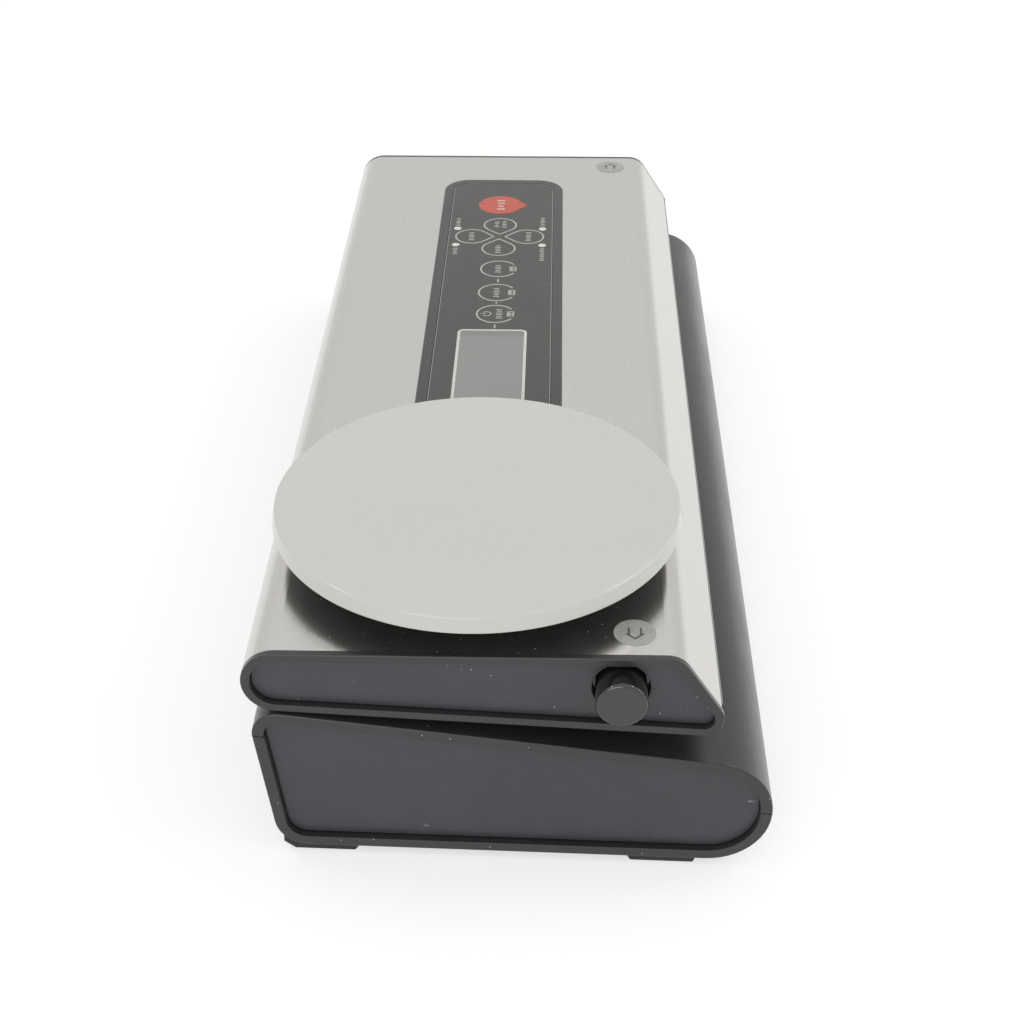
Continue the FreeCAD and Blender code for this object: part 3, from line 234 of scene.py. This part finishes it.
def brushed_steel(name):
    """Sheet steel, finely brushed along its length, with faint finger marks and a little dust."""
    look = Finish(name, Metallic=1.0, Anisotropic=0.3)
    tangent = look.tree.nodes.new("ShaderNodeTangent")
    tangent.direction_type = "RADIAL"
    tangent.axis = "X"
    look.link(tangent.outputs["Tangent"], look.shader.inputs["Tangent"])
    streaks = look.noise(2200.0, 3.0, 0.6, stretch=(0.02, 1.0, 1.0))
    long_streaks = look.noise(260.0, 3.0, 0.6, stretch=(0.01, 1.0, 1.0), shift=4.0)
    marks = look.noise(24.0, 4.0, 0.6, shift=9.0)
    tone = look.mix(look.span(streaks, 0.25, 0.75, 0.25, 0.75), STEEL_DARK, STEEL_LIGHT)
    tone = look.mix(look.span(long_streaks, 0.4, 0.7, 0.0, 0.12), tone, STEEL_DARK)
    tone = look.mix(look.span(marks, 0.5, 0.75, 0.0, 0.12), tone, STEEL_SMUDGE)
    specks = look.dust(420.0, 0.35, 0.11)
    tone = look.mix(specks, tone, STEEL_DUST)
    brushed = look.span(streaks, 0.3, 0.7, 0.235, 0.25)
    greasy = look.span(marks, 0.5, 0.75, 0.0, 0.03)
    rough = look.math("ADD", brushed, greasy)
    rough = look.math("ADD", rough, look.math("MULTIPLY", specks, 0.6))
    look.colour(tone).roughness(rough)
    look.normal(look.bump(streaks, 0.0000003, 0.3))
    return look.material


def plain_metal(name, colour, low_rough, high_rough, brush=(1.0, 1.0, 1.0)):
    """Machined or rolled metal: tool marks along one way and a little tarnish."""
    look = Finish(name, Metallic=1.0)
    lines = look.noise(700.0, 3.0, 0.6, stretch=brush)
    dull = look.noise(60.0, 3.0, 0.5, shift=2.0)
    tone = look.mix(look.span(dull, 0.35, 0.7), scaled(colour, 0.86), scaled(colour, 1.08))
    look.colour(tone).roughness(look.span(lines, 0.3, 0.7, low_rough, high_rough))
    look.normal(look.bump(lines, 0.000008))
    return look.material


def cellular(name, colour, size, depth, rough):
    """Foam or rubber: closed cells, pinholes and a matt surface."""
    look = Finish(name)
    cells = look.cells(size)
    holes = look.noise(size * 1.7, 2.0, 0.6, shift=6.0)
    patchy = look.noise(30.0, 3.0, 0.5, shift=8.0)
    tone = look.mix(look.span(cells, 0.1, 0.7), scaled(colour, 0.7), scaled(colour, 1.2))
    tone = look.mix(look.span(patchy, 0.35, 0.7, 0.0, 0.4), tone, scaled(colour, 1.3))
    look.colour(tone).roughness(look.span(holes, 0.3, 0.7, rough - 0.08, rough + 0.08))
    look.normal(look.bump(look.math("ADD", cells, holes), depth))
    return look.material


THREAD_PITCHES = (("X", 0.0011), ("Y", 0.0009))


def woven_sheet(name, colour):
    """Glass cloth coated with a slippery layer: a fine crossing weave and a waxy sheen."""
    look = Finish(name)
    threads = []
    for axis, pitch in THREAD_PITCHES:
        wave = look.math("SINE", look.math("MULTIPLY", look.along(axis), math.tau / pitch))
        threads.append(look.math("ABSOLUTE", wave))
    weave = look.math("MAXIMUM", threads[0], threads[1])
    singe = look.noise(70.0, 3.0, 0.6, stretch=(0.3, 1.0, 1.0))
    tone = look.mix(weave, scaled(colour, 0.7), scaled(colour, 1.15))
    tone = look.mix(look.span(singe, 0.5, 0.75, 0.0, 0.6), tone, scaled(colour, 0.5))
    look.colour(tone).roughness(look.span(singe, 0.3, 0.7, 0.3, 0.5))
    look.normal(look.bump(weave, 0.00004))
    return look.material


MASK_GREEN = (0.012, 0.09, 0.035, 1.0)
TRACK_GREEN = (0.03, 0.17, 0.06, 1.0)
SOLDER = (0.55, 0.52, 0.47, 1.0)


def circuit_board(name):
    """Solder mask over copper tracks, with pads that catch the light."""
    look = Finish(name)
    runs = look.cells(420.0, "DISTANCE_TO_EDGE", stretch=(0.5, 1.0, 1.0))
    pads = look.cells(300.0)
    track = look.span(runs, 0.03, 0.07, 1.0, 0.0)
    tone = look.mix(track, MASK_GREEN, TRACK_GREEN)
    pad = look.span(pads, 0.13, 0.16, 1.0, 0.0)
    tone = look.mix(pad, tone, SOLDER)
    look.colour(tone).roughness(look.span(pads, 0.1, 0.2, 0.3, 0.45))
    look.normal(look.bump(look.math("ADD", track, pad), 0.00003))
    return look.material


PANE_DARK = (0.205, 0.203, 0.197, 1.0)
PANE_LIGHT = (0.225, 0.223, 0.218, 1.0)
PANE_SHADE = (0.145, 0.143, 0.137, 1.0)
PANE_DUST = (0.5, 0.5, 0.5, 1.0)
SHADE_START = 6.5 * MM
SHADE_END = 11.5 * MM


def display_pane(name):
    """A window over a switched-off display: pale grey, darker where its frame shades it."""
    look = Finish(name, IOR=1.5)
    shade = look.span(look.along("X"), SHADE_START, SHADE_END, 0.0, 0.6)
    haze = look.noise(18.0, 3.0, 0.5)
    tone = look.mix(look.span(haze, 0.3, 0.7), PANE_DARK, PANE_LIGHT)
    tone = look.mix(shade, tone, PANE_SHADE)
    tone = look.mix(look.dust(300.0, 0.2), tone, PANE_DUST)
    look.colour(tone).roughness(look.span(haze, 0.35, 0.7, 0.22, 0.34))
    look.normal(look.bump(look.noise(700.0, 2.0, 0.5, shift=3.0), 0.000001))
    return look.material


def ink(name, colour, roughness=0.5):
    """Screen-printed ink: a slightly uneven film with a faint mesh pattern. Also used for the
    painted highlight on the film's cut edge.
    """
    look = Finish(name)
    film = look.noise(420.0, 3.0, 0.6)
    mesh = look.noise(1600.0, 1.0, 0.5, shift=2.0)
    tone = look.mix(look.span(film, 0.3, 0.7), scaled(colour, 0.9), scaled(colour, 1.06))
    rough = look.span(mesh, 0.3, 0.7, roughness - 0.06, roughness + 0.06)
    look.colour(tone).roughness(rough)
    look.normal(look.bump(mesh, 0.000005))
    return look.material


HOSE_MILKY = (0.72, 0.76, 0.76, 1.0)
HOSE_CLEAR = (0.86, 0.88, 0.87, 1.0)


def clear_tube(name):
    """Soft clear hose with a milky tint."""
    look = Finish(name, IOR=1.43, Transmission_Weight=0.55)
    haze = look.noise(90.0, 3.0, 0.5)
    tone = look.mix(haze, HOSE_MILKY, HOSE_CLEAR)
    look.colour(tone).roughness(look.span(haze, 0.3, 0.7, 0.12, 0.26))
    look.normal(look.bump(look.noise(300.0, 2.0, 0.5, shift=1.0), 0.00002))
    return look.material


COVER_SKIN = (0.031, 0.033, 0.038, 1.0)
CASING_SKIN = (0.018, 0.018, 0.0185, 1.0)
PLATFORM_SKIN = (0.462, 0.455, 0.433, 1.0)
BUTTON_SKIN = (0.010, 0.010, 0.0105, 1.0)
FILM_SKIN = (0.036, 0.0355, 0.0335, 1.0)
CARRIER_SKIN = (0.11, 0.11, 0.11, 1.0)
RUBBER_BLACK = (0.018, 0.018, 0.019, 1.0)
FOAM_BLACK = (0.035, 0.035, 0.036, 1.0)
SILICONE_RED = (0.42, 0.06, 0.05, 1.0)
BRIGHT_STEEL = (0.60, 0.59, 0.57, 1.0)
ALUMINIUM = (0.80, 0.80, 0.81, 1.0)
COPPER = (0.72, 0.36, 0.20, 1.0)
BRASS = (0.74, 0.55, 0.24, 1.0)
CLOTH_BROWN = (0.26, 0.15, 0.07, 1.0)
LABEL_GREY = linear(150, 149, 147)
LAMP_WHITE = linear(198, 197, 193)

casing_plastic = moulded(
    "black_casing_plastic",
    CASING_SKIN,
    low_rough=0.27,
    high_rough=0.34,
    scuffs=0.5,
    specks=0.06,
    IOR=1.54,
    Sheen_Weight=0.12,
    Sheen_Roughness=0.35,
)
cover_plastic = moulded(
    "black_panel_plastic",
    COVER_SKIN,
    low_rough=0.36,
    high_rough=0.46,
    scuffs=0.8,
    specks=0.16,
)
button_plastic = moulded(
    "gloss_black_plastic",
    BUTTON_SKIN,
    low_rough=0.09,
    high_rough=0.14,
    grain=900.0,
    grain_depth=0.000002,
    smudge=0.2,
    scuffs=0.3,
    Coat_Weight=0.6,
    Coat_Roughness=0.04,
)
panel_film = moulded(
    "panel_film",
    FILM_SKIN,
    low_rough=0.30,
    high_rough=0.36,
    grain=1800.0,
    grain_depth=0.000006,
    smudge=0.04,
    specks=0.2,
)
platform_plastic = moulded(
    "platform_plastic",
    PLATFORM_SKIN,
    low_rough=0.11,
    high_rough=0.15,
    grain=1000.0,
    grain_depth=0.0000015,
    smudge=0.012,
    specks=0.03,
)

finishes = {
    "brushed_steel_cover": brushed_steel("brushed_steel"),
    "black_casing": casing_plastic,
    "black_panel": cover_plastic,
    "gloss_black": button_plastic,
    "printed_panel": panel_film,
    "display": display_pane("display_glass"),
    "label": ink("label_film", LABEL_GREY, roughness=0.4),
    "carrier_plastic": moulded("carrier_plastic", CARRIER_SKIN, low_rough=0.45, high_rough=0.55),
    "platform_plastic": platform_plastic,
    "rubber": cellular("foot_rubber", RUBBER_BLACK, size=900.0, depth=0.00003, rough=0.8),
    "foam": cellular("gasket_foam", FOAM_BLACK, size=1500.0, depth=0.00012, rough=0.9),
    "silicone": cellular("strip_silicone", SILICONE_RED, size=2200.0, depth=0.00001, rough=0.45),
    "steel": plain_metal("bright_steel", BRIGHT_STEEL, 0.22, 0.36),
    "aluminium": plain_metal("milled_aluminium", ALUMINIUM, 0.28, 0.42, brush=(0.1, 1.0, 1.0)),
    "non_stick": woven_sheet("non_stick_cloth", CLOTH_BROWN),
    "circuit_board": circuit_board("solder_mask"),
    "copper": plain_metal("winding_copper", COPPER, 0.25, 0.45, brush=(1.0, 0.05, 1.0)),
    "clear_hose": clear_tube("clear_hose"),
    "led": ink("led_lens", LAMP_WHITE, roughness=0.25),
    "brass": plain_metal("pin_brass", BRASS, 0.2, 0.35),
}

# every CAD node takes the finish of its material slot, except the carrier under the platform
slots = {entry["node"]: entry["material_slot"] for entry in frame["record"]["subparts"]}
special = {"scale_carrier": "carrier_plastic"}
for name, piece in nodes.items():
    finish = finishes[special.get(name, slots[name])]
    for material_slot in piece.material_slots:
        material_slot.link = "OBJECT"
        material_slot.material = finish

# ---------------------------------------------------------------- button springs
# each sits between its rib in the lid and the latch hook; its mesh is copied into an object that
# rides on the lid, and the CAD part is hidden
for side_name, side in (("left", -1), ("right", 1)):
    node_name = "button_spring_" + side_name
    low, high = (Vector(corner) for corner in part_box(node_name))
    fixed_end = (low + high) / 2
    fixed_end.x = high.x if side < 0 else low.x
    coil = bpy.data.objects.new("coil_" + side_name, nodes[node_name].data.copy())
    scene.collection.objects.link(coil)
    coil.data.materials.clear()
    coil.data.materials.append(finishes[slots[node_name]])
    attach(coil, "lid")
    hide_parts(node_name)
    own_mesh(coil)

# ---------------------------------------------------------------- printing, in mm in the lid's frame
PRINT_LOW = 12.66
PRINT_TOP = 12.735
LINE = 0.8
SHARPEST_MITRE = 0.4


class Print:
    """A flat printed layer: lines and filled shapes with a very small thickness."""

    def __init__(self, low=PRINT_LOW, top=PRINT_TOP):
        self.mesh = bmesh.new()
        self.low = low
        self.top = top

    def ring(self, points):
        """The top and bottom corners of an outline, as mesh vertices."""
        tops = [self.mesh.verts.new((x, y, self.top)) for x, y in points]
        lows = [self.mesh.verts.new((x, y, self.low)) for x, y in points]
        return tops, lows

    def filled(self, points):
        """A filled outline whose points run anticlockwise."""
        tops, lows = self.ring(points)
        self.mesh.faces.new(tops)
        self.mesh.faces.new(lows[::-1])
        for i in range(len(points)):
            j = (i + 1) % len(points)
            self.mesh.faces.new((lows[i], lows[j], tops[j], tops[i]))

    def stroke(self, points, width=LINE, closed=False):
        """A line of constant width along points."""
        count = len(points)
        left, right = [], []
        for i, point in enumerate(points):
            here = Vector(point)
            before = Vector(points[i - 1]) if closed or i > 0 else here
            after = Vector(points[(i + 1) % count]) if closed or i < count - 1 else here
            into = ((here - before) if (here - before).length else (after - here)).normalized()
            away = (after - here).normalized() if (after - here).length else into
            across = Vector((-into.y - away.y, into.x + away.x)).normalized()
            reach = width / 2 / max(across.dot(Vector((-into.y, into.x))), SHARPEST_MITRE)
            left.append(here + across * reach)
            right.append(here - across * reach)
        left_tops, left_lows = self.ring([tuple(p) for p in left])
        right_tops, right_lows = self.ring([tuple(p) for p in right])
        add_face = self.mesh.faces.new
        for i in range(count if closed else count - 1):
            j = (i + 1) % count
            add_face((right_tops[i], right_tops[j], left_tops[j], left_tops[i]))
            add_face((right_lows[j], right_lows[i], left_lows[i], left_lows[j]))
            add_face((left_tops[i], left_tops[j], left_lows[j], left_lows[i]))
            add_face((right_tops[j], right_tops[i], right_lows[i], right_lows[j]))
        if not closed:
            add_face((right_tops[0], left_tops[0], left_lows[0], right_lows[0]))
            add_face((left_tops[-1], right_tops[-1], right_lows[-1], left_lows[-1]))

    def piece(self, name, finish, slot):
        """Turn the layer into an object that rides on the lid."""
        data = bpy.data.meshes.new(name)
        bmesh.ops.recalc_face_normals(self.mesh, faces=self.mesh.faces)
        self.mesh.to_mesh(data)
        self.mesh.free()
        data.transform(LID_FRAME)
        data.materials.append(finish)
        item = bpy.data.objects.new(name, data)
        scene.collection.objects.link(item)
        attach(item, "lid")


def arc(centre, radius, start, end, steps=48):
    """Points on an arc; angles in degrees from +X towards +Y."""
    x, y = centre
    points = []
    for step in range(steps + 1):
        angle = math.radians(start + (end - start) * step / steps)
        points.append((x + radius * math.cos(angle), y + radius * math.sin(angle)))
    return points


def drop(tip, centre, radius, steps=48):
    """A teardrop: a round end and two straight sides that meet at the tip, anticlockwise."""
    way = Vector(centre) - Vector(tip)
    facing = math.degrees(math.atan2(way.y, way.x))
    open_angle = math.degrees(math.acos(radius / way.length))
    return [tip] + arc(centre, radius, facing - 180 + open_angle, facing + 180 - open_angle, steps)


def soft_rectangle(low_x, high_x, low_y, high_y, radius, steps=8):
    """A rectangle with round corners, anticlockwise from its high corner."""
    centres = (
        (high_x - radius, high_y - radius),
        (low_x + radius, high_y - radius),
        (low_x + radius, low_y + radius),
        (high_x - radius, low_y + radius),
    )
    points = []
    for quarter, centre in enumerate(centres):
        points += arc(centre, radius, 90 * quarter, 90 * quarter + 90, steps)
    return points


BAR_HEIGHTS = (1.0, 0.72, 0.88)


def bars(layer, middle, length, height, count, share=0.45):
    """A row of small upright bars along X, in place of a word."""
    pitch = length / count
    half_thick = pitch * share / 2
    start = middle[0] - length / 2 + pitch / 2
    y = middle[1]
    for number in range(count):
        x = start + number * pitch
        half_tall = height * BAR_HEIGHTS[number % 3] / 2
        layer.filled(
            soft_rectangle(
                x - half_thick,
                x + half_thick,
                y - half_tall,
                y + half_tall,
                half_thick * 0.6,
                steps=2,
            )
        )


def bag_mark(layer, x, y):
    """A small pictogram at the open side of a key's ring: a crossed box under a bar."""
    outline, thin = 0.6, 0.45
    layer.stroke(soft_rectangle(x - 2.2, x + 2.2, y - 1.0, y + 0.9, 0.3, 3), outline, closed=True)
    layer.stroke([(x - 0.9, y - 0.7), (x + 0.9, y + 0.6)], thin)
    layer.stroke([(x - 0.9, y + 0.6), (x + 0.9, y - 0.7)], thin)
    layer.stroke([(x - 2.4, y + 1.6), (x + 2.4, y + 1.6)], outline)


# three round keys in a row, each ring open at the front for its pictogram
KEY_BACK = -64.5
KEY_RADIUS = 8.25
KEYS = (75.6, 51.1, 30.0)
RING_OPENING = 33
white = Print()
for x in KEYS:
    ring = arc((x, KEY_BACK), KEY_RADIUS, RING_OPENING - 90, 270 - RING_OPENING, 72)
    white.stroke(ring, LINE)
    bag_mark(white, x, KEY_BACK - 6.9)
bars(white, (KEYS[0], KEY_BACK + 0.3), 8.6, 3.0, 5)
bars(white, (KEYS[1], KEY_BACK + 0.3), 9.6, 3.0, 6)
bars(white, (KEYS[2], KEY_BACK - 1.6), 9.6, 3.0, 6)

# the power sign on the key beside the display
SIGN_OPENING = 38
white.stroke(arc((KEYS[2], KEY_BACK + 3.9), 1.9, 90 + SIGN_OPENING, 450 - SIGN_OPENING, 32), 0.5)
white.stroke([(KEYS[2], KEY_BACK + 4.4), (KEYS[2], KEY_BACK + 6.6)], 0.5)

# short lines that join the keys and the display
KEY_LINKS = ((61.4, 65.0), (40.0, 41.4), (16.2, 19.8))
for start, end in KEY_LINKS:
    white.stroke([(start, KEY_BACK), (end, KEY_BACK)], 0.7)

# four keys in the shape of petals, as tip and centre
PETAL_X = 111.1
PETAL_BACK = -63.7
PETAL_RADIUS = 7.7
PETALS = (
    ((PETAL_X + 2.6, PETAL_BACK), (PETAL_X + 13.2, PETAL_BACK)),
    ((PETAL_X - 2.6, PETAL_BACK), (PETAL_X - 13.4, PETAL_BACK)),
    ((PETAL_X, PETAL_BACK + 2.7), (PETAL_X, -50.6)),
    ((PETAL_X, PETAL_BACK - 2.7), (PETAL_X, -77.0)),
)
for tip, centre in PETALS:
    white.stroke(drop(tip, centre, PETAL_RADIUS), LINE, closed=True)

# bars in place of the words on the petals and beside the lamps: middle, length, height and count
WORDS = (
    ((PETAL_X + 14.0, PETAL_BACK + 1.6), 7.0, 2.4, 4),
    ((PETAL_X + 14.0, PETAL_BACK - 2.0), 8.6, 2.4, 5),
    ((PETAL_X - 14.2, PETAL_BACK + 0.3), 9.0, 3.0, 5),
    ((PETAL_X, -50.4), 9.6, 2.8, 6),
    ((PETAL_X, -77.6), 10.8, 2.6, 7),
    ((127.6, -43.3), 9.6, 2.4, 6),
    ((94.6, -43.3), 7.6, 2.4, 4),
    ((128.2, -84.2), 11.0, 2.4, 6),
    ((91.6, -84.2), 14.6, 2.4, 8),
)
for middle, length, height, count in WORDS:
    bars(white, middle, length, height, count)
white.piece("panel_line_art", ink("white_ink", linear(160, 159, 156)), "printed_panel")

# the line around the display
pane = Print()
pane.stroke(soft_rectangle(-50.15, 14.55, -78.05, -49.35, 2.2), 1.2, closed=True)
pane.piece("display_frame_line", ink("frame_ink", linear(188, 187, 183)), "printed_panel")

# the red key, with bars in place of its word
STOP_X = 148.4
STOP_BACK = -63.0
STOP_TIP = -76.2
STOP_RADIUS = 10.6
red = Print()
red.filled(drop((STOP_X, STOP_TIP), (STOP_X, STOP_BACK), STOP_RADIUS, 64))
red.piece("stop_key_drop", ink("red_ink", linear(178, 80, 65)), "printed_panel")
mark = Print(PRINT_TOP - 0.02, PRINT_TOP + 0.04)
bars(mark, (STOP_X, STOP_BACK - 0.4), 13.6, 4.0, 4, share=0.5)
mark.piece("stop_key_mark", ink("pale_ink", linear(190, 160, 152)), "printed_panel")

# the cut edge of the clear film over the panel, as a thin light grey band: a painted highlight where
# the edge catches the light
FILM_LOW = 11.9
FILM_TOP = 12.72
edge = Print(FILM_LOW, FILM_TOP)
edge.stroke(soft_rectangle(-59.0, 175.0, -88.9, -39.5, 7.9, 12), 0.22, closed=True)
edge.piece("panel_film_edge", ink("film_edge_highlight", linear(150, 149, 147), 0.25), "printed_panel")

# four round lamp windows
LAMP_RADIUS = 1.8
lamps = Print(PRINT_LOW, PRINT_TOP + 0.03)
for x in (101.5, 120.0):
    for y in (-84.2, -43.3):
        lamps.filled(arc((x, y), LAMP_RADIUS, 0, 345, 23))
lamps.piece("lamp_windows", finishes["led"], "led")

# an arrow head and two short lines on each round mark by the release buttons
LABEL_TOP = 12.15
MARK_LINE = 0.7
marks = Print(LABEL_TOP - 0.05, LABEL_TOP + 0.03)
for side in (-1, 1):
    x, y = side * 199.6, -118.4
    for line_y in (y + 2.0, y - 2.0):
        marks.stroke([(x - 2.6 * side, line_y), (x + 1.4 * side, line_y)], MARK_LINE)
    head = [(x + 0.6 * side, y + 3.0), (x + 3.4 * side, y), (x + 0.6 * side, y - 3.0)]
    marks.stroke(head, MARK_LINE)
marks.piece("push_mark_print", ink("label_ink", linear(78, 77, 76)), "label")

# ---------------------------------------------------------------- studio
REACH = 6.0
FLOOR_HEIGHT = -0.2 * MM
PAPER_DARK = (0.36, 0.36, 0.36, 1.0)
PAPER_LIGHT = (0.38, 0.38, 0.38, 1.0)
PAPER_GLOW = 0.60
floor_mesh = bmesh.new()
for x, y in ((-REACH, -REACH), (REACH, -REACH), (REACH, REACH), (-REACH, REACH)):
    floor_mesh.verts.new((x, y, FLOOR_HEIGHT))
floor_mesh.faces.new(floor_mesh.verts)
floor_data = bpy.data.meshes.new("floor")
floor_mesh.to_mesh(floor_data)
floor_mesh.free()
floor = bpy.data.objects.new("floor", floor_data)
scene.collection.objects.link(floor)
paper = Finish("studio_paper")
paper.colour(paper.mix(paper.noise(3.0), PAPER_DARK, PAPER_LIGHT)).roughness(0.9)
paper.shader.inputs["Emission Color"].default_value = (1.0, 1.0, 1.0, 1.0)
paper.shader.inputs["Emission Strength"].default_value = PAPER_GLOW
floor_data.materials.append(paper.material)

# a pale surround that is a little brighter overhead than at the horizon
SKY = (("From Min", 0.35), ("From Max", 0.75), ("To Min", 0.86), ("To Max", 1.03))
world = bpy.data.worlds.new("studio")
world.use_nodes = True
sky = world.node_tree
backdrop = sky.nodes["Background"]
backdrop.inputs["Color"].default_value = (1.0, 0.995, 0.985, 1.0)
height = sky.nodes.new("ShaderNodeSeparateXYZ")
sky.links.new(sky.nodes.new("ShaderNodeTexCoord").outputs["Generated"], height.inputs[0])
glow = sky.nodes.new("ShaderNodeMapRange")
for socket, number in SKY:
    glow.inputs[socket].default_value = number
sky.links.new(height.outputs["Z"], glow.inputs["Value"])
sky.links.new(glow.outputs["Result"], backdrop.inputs["Strength"])
scene.world = world


def soft_light(name, place, across, power):
    """A rectangular lamp that faces the machine; its size in metres and its power in watts."""
    lamp = bpy.data.lights.new(name, "AREA")
    lamp.shape = "RECTANGLE"
    lamp.size, lamp.size_y = across
    lamp.energy = power
    item = bpy.data.objects.new(name, lamp)
    scene.collection.objects.link(item)
    item.location = place
    item.rotation_euler = (LIT_POINT - Vector(place)).to_track_quat("-Z", "Y").to_euler()


LIT_POINT = Vector((0.0, 0.0, 0.05))
soft_light("overhead_back", (0.1, 0.84, 1.15), across=(0.4, 0.08), power=1.7)
soft_light("overhead_front", (0.1, -0.84, 1.15), across=(0.4, 0.08), power=1.7)
soft_light("near_end", (-1.7, 0.5, 0.75), across=(1.2, 0.9), power=9.0)
soft_light("front", (0.2, -1.7, 0.7), across=(1.8, 0.9), power=6.0)

# the camera looks along +X and down at the left end, angles in radians
CAMERA_PLACE = Vector((-0.6712, -0.0018, 0.4459))
YAW, PITCH, ROLL = 0.00899, 0.58176, 0.02996
forward = Vector((math.cos(YAW), math.sin(YAW), 0.0)) * math.cos(PITCH)
forward.z = -math.sin(PITCH)
level_right = Vector((math.sin(YAW), -math.cos(YAW), 0.0))
level_up = level_right.cross(forward)
right = math.cos(ROLL) * level_right + math.sin(ROLL) * level_up
up = -math.sin(ROLL) * level_right + math.cos(ROLL) * level_up
camera_data = bpy.data.cameras.new("camera")
camera_data.lens = 62.5
camera_data.sensor_width = 36.0
camera_data.clip_start = 0.01
camera = bpy.data.objects.new("camera", camera_data)
scene.collection.objects.link(camera)
turn = Matrix((right, up, -forward)).transposed().to_4x4()
camera.matrix_world = Matrix.Translation(CAMERA_PLACE) @ turn
scene.camera = camera
scene.view_settings.view_transform = "Standard"
